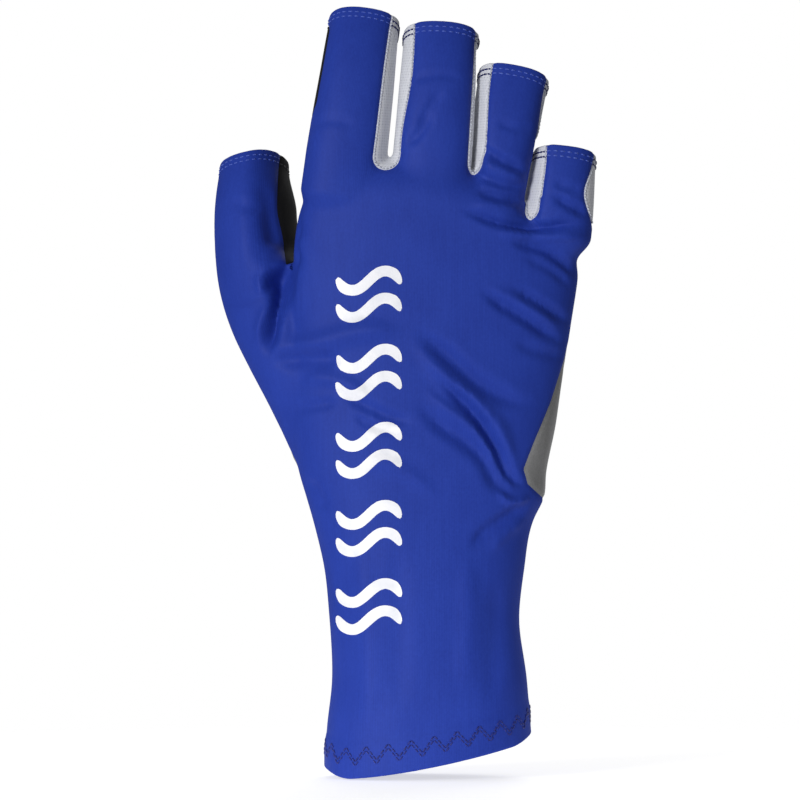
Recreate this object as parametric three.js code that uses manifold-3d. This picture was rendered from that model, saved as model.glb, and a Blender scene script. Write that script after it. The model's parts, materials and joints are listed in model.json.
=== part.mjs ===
// A right-hand half-finger sailing glove with a long cuff, as an assembly of sewn panels.
// Millimetres, +Z from the cuff towards the fingertips, +Y out of the palm, -Y out of the back of the
// hand, +X towards the little finger. The origin is the centre of the opening that the hand enters.
// Each stretch of cloth that crosses a knuckle or the wrist is a band of its own, because it bends there.
import * as THREE from 'three';
import { mergeVertices } from 'three/addons/utils/BufferGeometryUtils.js';
import Module from 'manifold-3d';

const wasm = await Module();
wasm.setup();

// Driving dimensions
const CLOTH = 1.1; // thickness of a panel
const GAP = 0.3; // between neighbouring pieces
const PATCH = 1.2; // thickness of an overlaid grip patch
const HEM_DEPTH = 6; // width of the turned hem at a digit's opening
const CUFF_HEM_DEPTH = 11; // width of the turned hem at the cuff
const SQUARENESS = 2.35; // exponent of the superelliptical sections
const HAND_SIDES = 32; // facets round the hand and cuff
const DIGIT_SIDES = 16; // facets round a digit
const PALM_SEAM_Y = 1.5; // where the palm panel meets the back panel, at the sides
const WRIST_BAND = [64, 86]; // the stretch of the cuff that bends with the wrist
const FOURCHETTE = 3.4; // how far a fourchette shows round the side of a finger, seen from the back
const HEM_LOW = -4.5; // the cuff's edge, at the thumb's side
const HEM_RISE = 11; // how much higher the edge is at the little finger's side
const HEEL_PAD_FACE = 21.6; // the palm pad's flat outer face, as a y
const THROUGH = 90; // reach of a cutter that goes right through
const PAST = 20; // how far the inside of a shell runs out past its opening

const LABEL = { thickness: 0.7, halfWidth: 9, low: 20, high: 44 }; // sewn inside the cuff, on the palm side

// The hand and cuff: edges at each height, as [height, thumb side x, little finger side x, back y, palm y]
const HAND = [
  [0, -32.3, 32.5, -23, 23],
  [22, -29.9, 30.9, -21.5, 21.5],
  [45, -30.6, 28.5, -20.5, 20],
  [60, -32.2, 29.8, -19.5, 19.5],
  [75, -35.8, 33.3, -18.8, 19.5],
  [90, -39.6, 36.9, -18, 20],
  [110, -42, 40.6, -17, 19.8],
  [130, -42.8, 43.4, -16.3, 18],
  [150, -42.3, 46.9, -15.6, 15.5],
  [165, -41.2, 49, -15, 13.5],
  [175, -40.6, 50.5, -14.4, 11.5],
  [186, -39.5, 50.5, -13.8, 8.5],
];
const HAND_TOP = HAND.at(-1)[0];
// Height of the line between the digits' roots, by x
const CROTCH_LINE = [
  [-42, 177], [-25, 186.5], [-13.5, 187], [0, 187], [13, 183], [24, 179], [33.5, 169], [52, 161],
];

// Each finger: root centre, lean towards +X in degrees, curl towards the palm at the tip, length, half
// widths and half depths at the root and tip, the stretch that bends, measured from the root, and how far
// the root runs down inside the hand at full size and in all
const FINGERS = {
  index: {
    root: [-25.3, -3.6, 189], lean: 7.6, curl: 28, length: 44,
    width: [12.2, 10.9], depth: [10, 9.6], band: [0.6, 17.2], reach: [12, 22],
  },
  middle: {
    root: [1.5, -3.6, 187.5], lean: 3.8, curl: 24, length: 41,
    width: [12, 11.2], depth: [10, 9.6], band: [0.8, 16.8], reach: [13, 24],
  },
  ring: {
    root: [23.2, -3.4, 184], lean: 7.4, curl: 20, length: 31,
    width: [9.5, 10.2], depth: [9.6, 9.3], band: [0.8, 14.8], reach: [16, 27],
  },
  little: {
    root: [42.3, -3.2, 168], lean: 3.6, curl: 14, length: 22,
    width: [9.1, 9.2], depth: [9.2, 8.8], band: [0.4, 12.4], reach: [6, 16],
  },
};
const ROOT_TAPER = 0.6; // a finger root's size at its start, deep inside the hand

// The thumb: points along its middle, with the half width and half depth at each
const THUMB = [
  { at: [-31, 4.5, 98], width: 11, depth: 11 },
  { at: [-38.5, 6.5, 116], width: 14.4, depth: 12.6 },
  { at: [-47.5, 8.5, 136], width: 13.8, depth: 12.6 },
  { at: [-51.8, 10, 150], width: 12.9, depth: 12.2 },
  { at: [-53.9, 12, 164], width: 12.2, depth: 11.8 },
  { at: [-54.3, 15.5, 176], width: 11.4, depth: 11.3 },
  { at: [-54, 20.5, 185.5], width: 10.6, depth: 10.6 },
];
const THUMB_BAND = [41.4, 60.4]; // along the thumb from its first point
const THUMB_SEAM = 6; // how far from the thumb's middle its palm leather starts, on the side by the hand

function paint(name, color, roughness) {
  return new THREE.MeshStandardMaterial({ name, color, roughness, metalness: 0 });
}

const MATERIALS = {
  backCloth: paint('blue stretch cloth', 0x2b3f9c, 0.55),
  palmLeather: paint('charcoal synthetic leather', 0x3a3b3e, 0.75),
  fourchetteCloth: paint('light grey knit', 0xc4c7cf, 0.8),
  gripLeather: paint('black grip leather', 0x1c1d20, 0.6),
  label: paint('white satin label', 0xe9e9e6, 0.5),
};

// A smooth curve through [position, value] pairs, held level past both ends
function smoothThrough(pairs) {
  return (position) => {
    const last = pairs.length - 1;
    if (position <= pairs[0][0]) return pairs[0][1];
    if (position >= pairs[last][0]) return pairs[last][1];
    const i = pairs.findIndex((pair) => pair[0] > position) - 1;
    const around = [i - 1, i, i + 1, i + 2].map((k) => pairs[Math.min(Math.max(k, 0), last)]);
    const [before, from, to, after] = around;
    const span = to[0] - from[0];
    const t = (position - from[0]) / span;
    const slopeFrom = ((to[1] - before[1]) / (to[0] - before[0])) * span;
    const slopeTo = ((after[1] - from[1]) / (after[0] - from[0])) * span;
    const cubic = 2 * from[1] - 2 * to[1] + slopeFrom + slopeTo;
    const square = 3 * to[1] - 3 * from[1] - 2 * slopeFrom - slopeTo;
    return from[1] + t * (slopeFrom + t * (square + t * cubic));
  };
}

// A closed solid through rings that all have the same number of points
function loft(rings) {
  const sides = rings[0].length;
  const points = rings.flat();
  const faces = [];
  for (let r = 0; r < rings.length - 1; r++) {
    for (let i = 0; i < sides; i++) {
      const j = (i + 1) % sides;
      const [a, b, c, d] = [r * sides + i, r * sides + j, (r + 1) * sides + j, (r + 1) * sides + i];
      faces.push(a, b, c, a, c, d);
    }
  }
  for (const [r, turned] of [[0, true], [rings.length - 1, false]]) {
    const centre = rings[r].reduce((sum, p) => sum.add(p), new THREE.Vector3()).divideScalar(sides);
    const middle = points.push(centre) - 1;
    for (let i = 0; i < sides; i++) {
      const [a, b] = [r * sides + i, r * sides + ((i + 1) % sides)];
      faces.push(middle, turned ? b : a, turned ? a : b);
    }
  }
  const geometry = new THREE.BufferGeometry().setFromPoints(points);
  geometry.setIndex(faces);
  return geometry;
}

// A three.js geometry as a solid that can be cut and joined
function solid(geometry) {
  const bare = geometry.clone();
  bare.deleteAttribute('normal');
  bare.deleteAttribute('uv');
  const merged = mergeVertices(bare, 1e-4);
  const mesh = new wasm.Mesh({
    numProp: 3,
    vertProperties: new Float32Array(merged.attributes.position.array),
    triVerts: new Uint32Array(merged.index.array),
  });
  return new wasm.Manifold(mesh);
}

const union = (solids) => solids.reduce((sum, next) => sum.add(next));
const largest = (cut) => cut.decompose().sort((a, b) => b.volume() - a.volume())[0];

// A corner-rounded oval: the fraction of the half width and half depth at an angle
function oval(angle) {
  const round = (v) => Math.sign(v) * Math.abs(v) ** (2 / SQUARENESS);
  return [round(Math.cos(angle)), round(Math.sin(angle))];
}

const handEdge = [1, 2, 3, 4].map((column) => smoothThrough(HAND.map((row) => [row[0], row[column]])));
const crotchLine = smoothThrough(CROTCH_LINE);
const hemLine = (x) => HEM_LOW + HEM_RISE * THREE.MathUtils.clamp((x + 30) / 60, 0, 1.1) ** 1.5;

// The slanting hem and crotch line shear the level sections below 40 mm and above 130 mm
function sheared(x, z) {
  const low = 1 - THREE.MathUtils.smoothstep(z, 0, 40);
  const high = THREE.MathUtils.smoothstep(z, 130, HAND_TOP);
  return z + low * hemLine(x) + high * (crotchLine(x) - HAND_TOP);
}

// The hand and cuff grown by a distance; extend is added below the hem
function handLoft(grow, extend = 0) {
  const heights = HAND.map((row) => row[0]);
  const rings = heights.map((z, index) => {
    const [left, right, back, palm] = handEdge.map((edge) => edge(z));
    const [halfWidth, halfDepth] = [(right - left) / 2 + grow, (palm - back) / 2 + grow];
    const shift = index === heights.length - 1 ? grow : 0;
    return Array.from({ length: HAND_SIDES }, (_, i) => {
      const [u, w] = oval((2 * Math.PI * i) / HAND_SIDES);
      const x = (left + right) / 2 + u * halfWidth;
      return new THREE.Vector3(x, (back + palm) / 2 + w * halfDepth, sheared(x, z) + shift);
    });
  });
  if (extend) rings.unshift(rings[0].map((p) => new THREE.Vector3(p.x, p.y, p.z - extend)));
  return solid(loft(rings));
}

// Stations along a finger: straight inside the hand, then an arc that curls towards the palm
function fingerStations({ root, lean, curl, length, width, depth, reach }) {
  const leaning = THREE.MathUtils.degToRad(lean);
  const along = new THREE.Vector3(Math.sin(leaning), 0, Math.cos(leaning));
  const towardsPalm = new THREE.Vector3(0, 1, 0);
  const turn = THREE.MathUtils.degToRad(curl) / length;
  const distances = [-reach[1], -reach[0], 0, 0.25 * length, 0.5 * length, 0.75 * length, length];
  return distances.map((s) => {
    const angle = Math.max(s, 0) * turn;
    const at = new THREE.Vector3(...root);
    at.addScaledVector(along, s <= 0 ? s : Math.sin(angle) / turn);
    at.addScaledVector(towardsPalm, s <= 0 ? 0 : (1 - Math.cos(angle)) / turn);
    const tangent = along.clone().multiplyScalar(Math.cos(angle));
    tangent.addScaledVector(towardsPalm, Math.sin(angle));
    const share = Math.max(s, 0) / length;
    const taper = s === -reach[1] ? ROOT_TAPER : 1;
    const [halfWidth, halfDepth] = [width, depth].map(([a, b]) => taper * (a + (b - a) * share));
    return { s, at, tangent, halfWidth, halfDepth };
  });
}

function thumbStations() {
  const curve = new THREE.CatmullRomCurve3(THUMB.map(({ at }) => new THREE.Vector3(...at)));
  return THUMB.map(({ width, depth }, i) => {
    const t = i / (THUMB.length - 1);
    const [at, tangent] = [curve.getPoint(t), curve.getTangent(t)];
    return { s: arcLength(curve, t), at, tangent, halfWidth: width, halfDepth: depth };
  });
}

function arcLength(curve, t) {
  const steps = 60;
  const points = Array.from({ length: steps + 1 }, (_, i) => curve.getPoint((t * i) / steps));
  return points.slice(1).reduce((sum, p, i) => sum + p.distanceTo(points[i]), 0);
}

// The station at any distance along a digit, between or past the listed ones
function stationAt(stations, s) {
  const last = stations.length - 1;
  const i = Math.min(Math.max(stations.findIndex((station) => station.s > s) - 1, 0), last - 1);
  const from = s >= stations[last].s ? stations[last - 1] : stations[i];
  const to = s >= stations[last].s ? stations[last] : stations[i + 1];
  const t = (s - from.s) / (to.s - from.s);
  const mix = (key) => from[key] + (to[key] - from[key]) * t;
  return {
    s,
    at: from.at.clone().lerp(to.at, t),
    tangent: from.tangent.clone().lerp(to.tangent, Math.min(Math.max(t, 0), 1)).normalize(),
    halfWidth: mix('halfWidth'),
    halfDepth: mix('halfDepth'),
  };
}

// The stations from one distance to another, with both ends exact
function stretch(stations, from, to) {
  const inner = stations.filter(({ s }) => s > from + 0.5 && s < to - 0.5);
  return [stationAt(stations, from), ...inner, stationAt(stations, to)];
}

// A point of a station's section: u across the digit towards +X, w towards the palm
function sectionPoint({ at, tangent }, u, w) {
  const across = new THREE.Vector3(0, 1, 0).cross(tangent).normalize();
  const deep = tangent.clone().cross(across);
  return at.clone().addScaledVector(across, u).addScaledVector(deep, w);
}

function digitLoft(stations, grow, from, to) {
  const rings = stretch(stations, from, to).map((station) =>
    Array.from({ length: DIGIT_SIDES }, (_, i) => {
      const [u, w] = oval((2 * Math.PI * (i + 0.5)) / DIGIT_SIDES);
      return sectionPoint(station, u * (station.halfWidth + grow), w * (station.halfDepth + grow));
    }),
  );
  return solid(loft(rings));
}

// A bar along a digit; each limit is a number or a function of the station
function digitBar(stations, from, to, uLow, uHigh, wLow, wHigh) {
  const value = (limit, station) => (typeof limit === 'function' ? limit(station) : limit);
  const rings = stretch(stations, from, to).map((station) =>
    [[uLow, wLow], [uHigh, wLow], [uHigh, wHigh], [uLow, wHigh]].map(([u, w]) =>
      sectionPoint(station, value(u, station), value(w, station)),
    ),
  );
  return solid(loft(rings));
}

function box(x0, x1, y0, y1, z0, z1) {
  const geometry = new THREE.BoxGeometry(x1 - x0, y1 - y0, z1 - z0);
  geometry.translate((x0 + x1) / 2, (y0 + y1) / 2, (z0 + z1) / 2);
  return solid(geometry);
}

// An outline in x and z, through the glove from one y to another
function prism(shape, y0, y1, curveSegments = 6) {
  const geometry = new THREE.ExtrudeGeometry(shape, { depth: y1 - y0, bevelEnabled: false, curveSegments });
  geometry.rotateX(Math.PI / 2);
  geometry.translate(0, y1, 0);
  return solid(geometry);
}

function smoothShape(points) {
  const curve = new THREE.SplineCurve([...points, points[0]].map(([x, z]) => new THREE.Vector2(x, z)));
  return new THREE.Shape(curve.getPoints(points.length * 3).slice(0, -1));
}

const digits = Object.fromEntries(
  Object.entries(FINGERS).map(([name, finger]) => {
    const { band, length, reach } = finger;
    return [name, { stations: fingerStations(finger), band, tip: length, start: -reach[1] }];
  }),
);
const thumbLine = thumbStations();
digits.thumb = { stations: thumbLine, band: THUMB_BAND, tip: thumbLine.at(-1).s, start: 0 };

const group = new THREE.Group();
function add(name, cut, material) {
  const { vertProperties, triVerts } = largest(cut).getMesh();
  const geometry = new THREE.BufferGeometry();
  geometry.setAttribute('position', new THREE.BufferAttribute(new Float32Array(vertProperties), 3));
  geometry.setIndex(new THREE.BufferAttribute(new Uint32Array(triVerts), 1));
  const mesh = new THREE.Mesh(geometry.toNonIndexed(), material);
  mesh.geometry.computeVertexNormals();
  mesh.name = name;
  group.add(mesh);
  return mesh;
}

// The hand and cuff as one shell with the digits' roots joined on
function handShell() {
  const roots = (grow, low, high) =>
    Object.values(digits).map(({ stations, band, start }) =>
      digitLoft(stations, grow, start + low, band[0] + high),
    );
  const outer = union([handLoft(0), ...roots(0, 0, -GAP / 2)]);
  const inner = union([handLoft(-CLOTH, PAST), ...roots(-CLOTH, 2, 3)]);
  return outer.subtract(inner);
}

const shell = handShell();
const level = (low, high) => box(-THROUGH, THROUGH, -THROUGH, THROUGH, low, high);
const [bandLow, bandHigh] = WRIST_BAND;
const CUFF_BOTTOM = -40;

// Outlines seen from the back, as [x, z]
const HEEL_TAB = [
  [47, 136], [43.6, 130], [37.5, 112], [31, 98], [29.5, 90], [32, 86.2], [40, 80], [66, 80], [66, 136],
];
const WEBS = { index_middle: [-13, 179.5], middle_ring: [13, 176], ring_little: [33.4, 162] };

// The rounded U at a crotch; grow widens it all round
function webOutline([x, low], grow) {
  const [side, foot] = [4.8 + grow, 3 + grow];
  const bottom = low - grow;
  const right = [[x, bottom], [x + foot, bottom + 1.1], [x + side, bottom + 6.5], [x + side, 205]];
  const left = right.slice(1).map(([px, pz]) => [2 * x - px, pz]).reverse();
  return smoothShape([...right, ...left]);
}

function handPanels() {
  const hand = shell.intersect(level(bandHigh + GAP / 2, 300));
  const openings = Object.values(WEBS).map((web) => prism(webOutline(web, GAP), -THROUGH, THROUGH));
  const body = hand.subtract(union(openings));
  const palmHalf = box(-THROUGH, THROUGH, PALM_SEAM_Y, THROUGH, 0, 300);
  const tab = prism(smoothShape(HEEL_TAB), -THROUGH, THROUGH);
  const cleared = palmHalf.translate([0, -GAP, 0]).add(tab.translate([-GAP, 0, -GAP]));
  add('back_panel', body.subtract(cleared), MATERIALS.backCloth);
  add('palm_panel', body.intersect(palmHalf.add(tab)), MATERIALS.palmLeather);
  Object.entries(WEBS).forEach(([name, web]) => {
    const cutter = prism(webOutline(web, 0), -THROUGH, THROUGH);
    add(`fourchette_web_${name}`, hand.intersect(cutter), MATERIALS.fourchetteCloth);
  });
}

function wristAndCuff() {
  add('wrist_band', shell.intersect(level(bandLow, bandHigh - GAP / 2)), MATERIALS.backCloth);
  const cuff = shell.intersect(level(CUFF_BOTTOM, bandLow - GAP));
  const side = (y0, y1) => box(-THROUGH, THROUGH, y0, y1, CUFF_BOTTOM, bandHigh);
  add('cuff_back', cuff.intersect(side(-THROUGH, -GAP / 2)), MATERIALS.backCloth);
  add('cuff_palm', cuff.intersect(side(GAP / 2, THROUGH)), MATERIALS.backCloth);
  const inside = -CLOTH - GAP;
  const hem = handLoft(inside).subtract(handLoft(inside - CLOTH, PAST));
  add('cuff_hem', hem.intersect(handBottom(CUFF_HEM_DEPTH)), MATERIALS.backCloth);
  const lining = handLoft(inside).subtract(handLoft(inside - LABEL.thickness, PAST));
  const { halfWidth, low, high } = LABEL;
  const tag = box(-halfWidth, halfWidth, 0, THROUGH, low, high);
  add('size_label', lining.intersect(tag), MATERIALS.label);
}

// The slanting slice at the bottom of the cuff, with enough corners along it to follow the hem
function handBottom(height) {
  const columns = Array.from({ length: 13 }, (_, i) => -60 + 10 * i);
  const outline = [...columns.map((x) => [x, -60]), ...columns.reverse().map((x) => [x, 60])];
  const ring = (z) => outline.map(([x, y]) => new THREE.Vector3(x, y, z + hemLine(x)));
  return solid(loft([ring(-30), ring(height)]));
}

// A digit's band, panels and hem, in its own frame
function digitPanels(name, zones) {
  const { stations, band, tip } = digits[name];
  const inside = digitLoft(stations, -CLOTH, band[0] - 4, tip + PAST);
  const outside = (from, to) => digitLoft(stations, 0, from, to).subtract(inside);
  const bandShell = outside(band[0] + GAP / 2, band[1] - GAP / 2);
  const bandName = name === 'thumb' ? 'thumb_base_band' : `${name}_knuckle_band`;
  add(bandName, bandShell.subtract(handLoft(GAP)), MATERIALS.backCloth);
  const stall = outside(band[1] + GAP / 2, tip);
  zones.forEach(({ part, bars, material }) => {
    const cutters = bars.map(([u, w]) => digitBar(stations, band[1] - 2, tip + 2, ...u, ...w));
    add(`${name}_${part}`, stall.intersect(union(cutters)), material);
  });
  const inset = -CLOTH - GAP;
  const ring = digitLoft(stations, inset, tip - HEM_DEPTH, tip);
  const bore = digitLoft(stations, inset - CLOTH, tip - HEM_DEPTH - 2, tip + 4);
  add(`${name}_hem`, ring.subtract(bore), MATERIALS.backCloth);
}

const WIDE = 30; // past a digit's side
const half = GAP / 2;
const seam = (side, gapSide) => (station) => side * (station.halfWidth - FOURCHETTE) + gapSide * half;
const { backCloth, palmLeather, fourchetteCloth, gripLeather } = MATERIALS;
const backZone = (u) => ({ part: 'back', bars: [[u, [-WIDE, -half]]], material: backCloth });
const palmZone = (...bars) => ({ part: 'palm', bars, material: palmLeather });
const sideZone = (part, side) => ({
  part,
  bars: [[side > 0 ? [seam(1, 1), WIDE] : [-WIDE, seam(-1, -1)], [-WIDE, WIDE]]],
  material: fourchetteCloth,
});
const between = [seam(-1, 1), seam(1, -1)];
const palmSide = [half, WIDE];

// An overlaid patch on the palm side of a digit
function gripPatch(name, from, to) {
  const { stations } = digits[name];
  const cover = digitLoft(stations, GAP + PATCH, from, to);
  const sheet = cover.subtract(digitLoft(stations, GAP, from - 2, to + 2));
  const edge = (side) => (station) => side * (station.halfWidth - FOURCHETTE - 1);
  const strip = digitBar(stations, from - 2, to + 2, edge(-1), edge(1), 0, WIDE);
  add(`${name}_grip_patch`, sheet.intersect(strip), gripLeather);
}

// Patches over the palm: a grip strip below the fingers, and a heel pad with a flat outer face
const GRIP_STRIP = [
  [-30, 166], [-30, 152], [-10, 147], [14, 145], [36, 140], [41, 148], [38, 157], [10, 166], [-12, 171],
];
const HEEL_PAD = [[1, 126], [-3, 112], [1, 99], [11, 96.5], [20, 101], [22, 114], [18, 126], [9, 129]];

function palmPatches() {
  const cover = handLoft(GAP + PATCH).subtract(handLoft(GAP));
  add('palm_grip_patch', cover.intersect(prism(smoothShape(GRIP_STRIP), 2, THROUGH)), gripLeather);
  const pad = prism(smoothShape(HEEL_PAD), 4, HEEL_PAD_FACE);
  add('palm_heel_pad', pad.subtract(handLoft(GAP)), gripLeather);
}

handPanels();
wristAndCuff();
palmPatches();
digitPanels('index', [
  backZone([-WIDE, seam(1, -1)]),
  palmZone([[-WIDE, seam(1, -1)], palmSide]),
  sideZone('fourchette', 1),
]);
for (const name of ['middle', 'ring']) {
  digitPanels(name, [
    backZone(between),
    palmZone([between, palmSide]),
    sideZone('fourchette_thumb_side', -1),
    sideZone('fourchette_little_side', 1),
  ]);
}
digitPanels('little', [
  backZone(between),
  palmZone([between, palmSide]),
  sideZone('fourchette', -1),
  sideZone('side_panel', 1),
]);
digitPanels('thumb', [
  backZone([-WIDE, THUMB_SEAM - half]),
  palmZone([[-WIDE, WIDE], palmSide], [[THUMB_SEAM + half, WIDE], [-WIDE, WIDE]]),
]);
gripPatch('index', 21, 40);
gripPatch('middle', 21, 37);
gripPatch('thumb', 64, 84);

export default group;
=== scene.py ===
"""A right-hand half-finger sailing glove with a long cuff, on an unseen hand, seen from the back.

The glove's skin is one smooth surface, found as the zero level of a field: a hand and cuff of
superelliptical sections, joined softly to five bent tubes. The skin is creased, cut along its seam lines
into the panels that such a glove is sewn from, and each panel is given the thickness of its cloth. Hems,
stitches, patches and the printed motif are then laid on it. Everything is in millimetres until an object
is made of it.
"""
import json
import math
from functools import partial

import bpy
import numpy as np
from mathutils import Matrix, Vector

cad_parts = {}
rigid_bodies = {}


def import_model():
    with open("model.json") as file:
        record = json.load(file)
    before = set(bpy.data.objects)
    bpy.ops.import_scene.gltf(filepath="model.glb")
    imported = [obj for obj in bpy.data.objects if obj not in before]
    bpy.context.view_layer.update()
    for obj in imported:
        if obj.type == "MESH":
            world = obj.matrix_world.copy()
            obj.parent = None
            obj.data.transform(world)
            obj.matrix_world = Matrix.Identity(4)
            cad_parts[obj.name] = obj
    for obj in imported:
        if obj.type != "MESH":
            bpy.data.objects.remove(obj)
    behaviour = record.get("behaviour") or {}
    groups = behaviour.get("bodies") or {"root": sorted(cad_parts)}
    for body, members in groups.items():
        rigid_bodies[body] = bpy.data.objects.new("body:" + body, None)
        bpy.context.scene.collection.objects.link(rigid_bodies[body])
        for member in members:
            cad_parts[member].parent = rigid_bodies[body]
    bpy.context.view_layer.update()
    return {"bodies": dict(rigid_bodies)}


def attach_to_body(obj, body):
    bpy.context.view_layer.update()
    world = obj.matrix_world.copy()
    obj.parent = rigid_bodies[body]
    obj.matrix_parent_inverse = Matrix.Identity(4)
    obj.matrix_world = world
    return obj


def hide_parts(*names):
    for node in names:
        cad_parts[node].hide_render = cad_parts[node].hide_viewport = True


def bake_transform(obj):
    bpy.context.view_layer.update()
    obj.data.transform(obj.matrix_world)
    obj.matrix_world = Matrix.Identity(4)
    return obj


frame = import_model()

MM = 0.001

# ------------------------------------------------------------------ sizes, as in the CAD source
SQUARENESS = 2.35       # exponent of the superelliptical sections
CLOTH = 0.9             # thickness of a panel

# The hand and cuff: height, thumb's side x, little finger's side x, back y, palm y
HAND = np.array([
    (-12, -31.0, 31.6, -22.8, 22.8),
    (0, -31.9, 32.2, -22.5, 22.5),
    (10, -31.2, 31.6, -22.0, 22.0),
    (25, -29.7, 30.6, -21.2, 21.2),
    (45, -30.5, 28.2, -20.4, 20.0),
    (60, -32.1, 29.8, -19.5, 19.5),
    (75, -35.6, 32.6, -18.8, 19.5),
    (82, -37.6, 35.9, -18.4, 19.8),
    (90, -40.0, 36.7, -18.0, 20.0),
    (105, -42.0, 39.6, -17.3, 20.0),
    (120, -42.6, 41.8, -16.7, 19.0),
    (135, -42.8, 44.2, -16.2, 17.5),
    (150, -42.4, 46.4, -15.9, 15.5),
    (160, -41.6, 47.3, -15.7, 14.1),
    (166, -41.0, 50.4, -15.5, 13.2),
    (176, -40.6, 50.4, -15.0, 11.3),
    (186, -39.7, 50.4, -14.4, 8.5),
    (200, -38.0, 50.0, -13.8, 6.0),
])
# The line between the digits' roots, as x and height
CROTCH_LINE = np.array([
    (-46, 175), (-25, 186.0), (-13.5, 187.3), (0, 187.0), (13, 183.6),
    (24, 179), (33.8, 169.5), (42, 166), (54, 160),
])
CROTCH_SOFTNESS = 13.0

MIDDLE_Y = -3.5          # halfway between a finger's back and its palm side, at its root
# Each finger: its root, how many degrees it leans and curls, its half width and half depth at root and tip,
# and how far below its root it starts to taper and ends
FINGERS = {
    "index": dict(root=(-25.4, MIDDLE_Y, 189), lean=7.8, curl=28, length=43.2,
                  width=(12.7, 11.2), depth=(10, 9.6), reach=(12, 22)),
    "middle": dict(root=(2.0, MIDDLE_Y, 187.5), lean=3.2, curl=24, length=40.0,
                   width=(13.1, 11.6), depth=(10, 9.6), reach=(13, 24)),
    "ring": dict(root=(21.2, MIDDLE_Y, 184), lean=10.9, curl=20, length=30.3,
                 width=(10.6, 10.9), depth=(9.6, 9.3), reach=(16, 27)),
    "little": dict(root=(39.9, MIDDLE_Y, 168), lean=6.6, curl=14, length=21.3,
                   width=(11.5, 10.1), depth=(9.2, 8.8), reach=(4, 13)),
}
NEIGHBOURS = [("index", "middle"), ("middle", "ring"), ("ring", "little")]
# The least gap between a finger and the next one, and how steeply it slants from the back to the palm
FINGER_GAP = {"index": 1.2, "middle": 1.3, "ring": 1.4}
GAP_SLANT = {"index": 0.08, "middle": 0.26, "ring": 0.36}
SLANT_FADE = (3.0, -13.0)    # from the little finger's end: where its gap starts to slant, and slants in full
ROOT_TAPER = 0.6
# The thumb: x, y, z along its middle, then half width and half depth
THUMB = np.array([
    (-31.0, 4.5, 98.0, 11.0, 11.0),
    (-37.2, 6.5, 116.0, 13.4, 12.6),
    (-47.3, 8.5, 136.0, 13.4, 12.6),
    (-52.2, 10.0, 150.0, 12.4, 12.2),
    (-54.0, 12.0, 164.0, 12.0, 11.8),
    (-54.3, 15.5, 176.0, 11.6, 11.3),
    (-53.9, 20.5, 187.0, 10.8, 10.6),
    (-53.0, 28.0, 199.0, 9.5, 9.5),
])
THUMB_TURN, THUMB_FLATNESS = math.radians(33), 0.15
THUMB_TIP = 94.6         # along the thumb, where its hem is
THUMB_ROOT = 48.0        # along the thumb, where its own pieces start
FINGER_ROOT = 1.5        # along a finger, where both happen
TRIMMED = 2.4            # how far a digit's tube runs past its end, to be cut off

SKIN_STEP = 0.8          # edge length of the skin's mesh
SKIN_BOX = (-74, -32, -13), (60, 40, 246)


# ------------------------------------------------------------------ small numeric helpers
def through(table, column):
    """A smooth function through two columns of a table, held level past both ends."""
    table = np.asarray(table, float)
    xs, ys = table[:, 0], table[:, column]
    slopes = np.gradient(ys, xs)
    fine = np.linspace(xs[0], xs[-1], 500)
    i = np.clip(np.searchsorted(xs, fine, side="right") - 1, 0, len(xs) - 2)
    span = xs[i + 1] - xs[i]
    t = (fine - xs[i]) / span
    a, b, ma, mb = ys[i], ys[i + 1], slopes[i] * span, slopes[i + 1] * span
    values = a + t * (ma + t * (3 * (b - a) - 2 * ma - mb + t * (2 * (a - b) + ma + mb)))
    return lambda x: np.interp(x, fine, values)


def smoothstep(low, high, x):
    """0 at low and 1 at high, level at both; low may be the greater one."""
    t = np.clip((x - low) / (high - low), 0, 1)
    return t * t * (3 - 2 * t)


def soft_min(a, b, k):
    """The lesser of two, rounded where they differ by less than k."""
    h = np.clip(0.5 + 0.5 * (b - a) / k, 0, 1)
    return b + (a - b) * h - k * h * (1 - h)


def soft_max(a, b, k):
    return -soft_min(-a, -b, k)


def unit(v):
    return v / np.maximum(np.linalg.norm(v, axis=-1, keepdims=True), 1e-12)


def curve_points(points, count):
    """Evenly spaced points along a smooth curve through a few given ones."""
    points = np.asarray(points, float)
    t = np.arange(len(points))
    columns = [through(np.column_stack([t, points[:, c]]), 1) for c in range(points.shape[1])]
    dense = np.column_stack([column(np.linspace(0, len(points) - 1, 400)) for column in columns])
    return resample(dense, count)


def length_along(line):
    """How far along a line each of its points is."""
    return np.concatenate([[0], np.cumsum(np.linalg.norm(np.diff(line, axis=0), axis=1))])


def resample(line, count, closed=False):
    """The same line with evenly spaced points."""
    if closed:
        line = np.vstack([line, line[:1]])
    length = length_along(line)
    at = np.linspace(0, length[-1], count + 1)[:-1] if closed else np.linspace(0, length[-1], count)
    return np.column_stack([np.interp(at, length, line[:, c]) for c in range(line.shape[1])])


# ------------------------------------------------------------------ the field that the skin comes from
def oval_distance(u, w, half_width, half_depth):
    """About how far a point of a section is outside its superellipse."""
    a, b = np.abs(u) / half_width, np.abs(w) / half_depth
    r = (a ** SQUARENESS + b ** SQUARENESS) ** (1 / SQUARENESS) + 1e-9
    steep = np.hypot(a ** (SQUARENESS - 1) / half_width, b ** (SQUARENESS - 1) / half_depth)
    slope = r ** (1 - SQUARENESS) * steep
    return (r - 1) / np.maximum(slope, 0.6 / np.maximum(half_width, half_depth))


hand_edges = [through(HAND, column) for column in (1, 2, 3, 4)]
crotch_height = through(CROTCH_LINE, 1)


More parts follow.
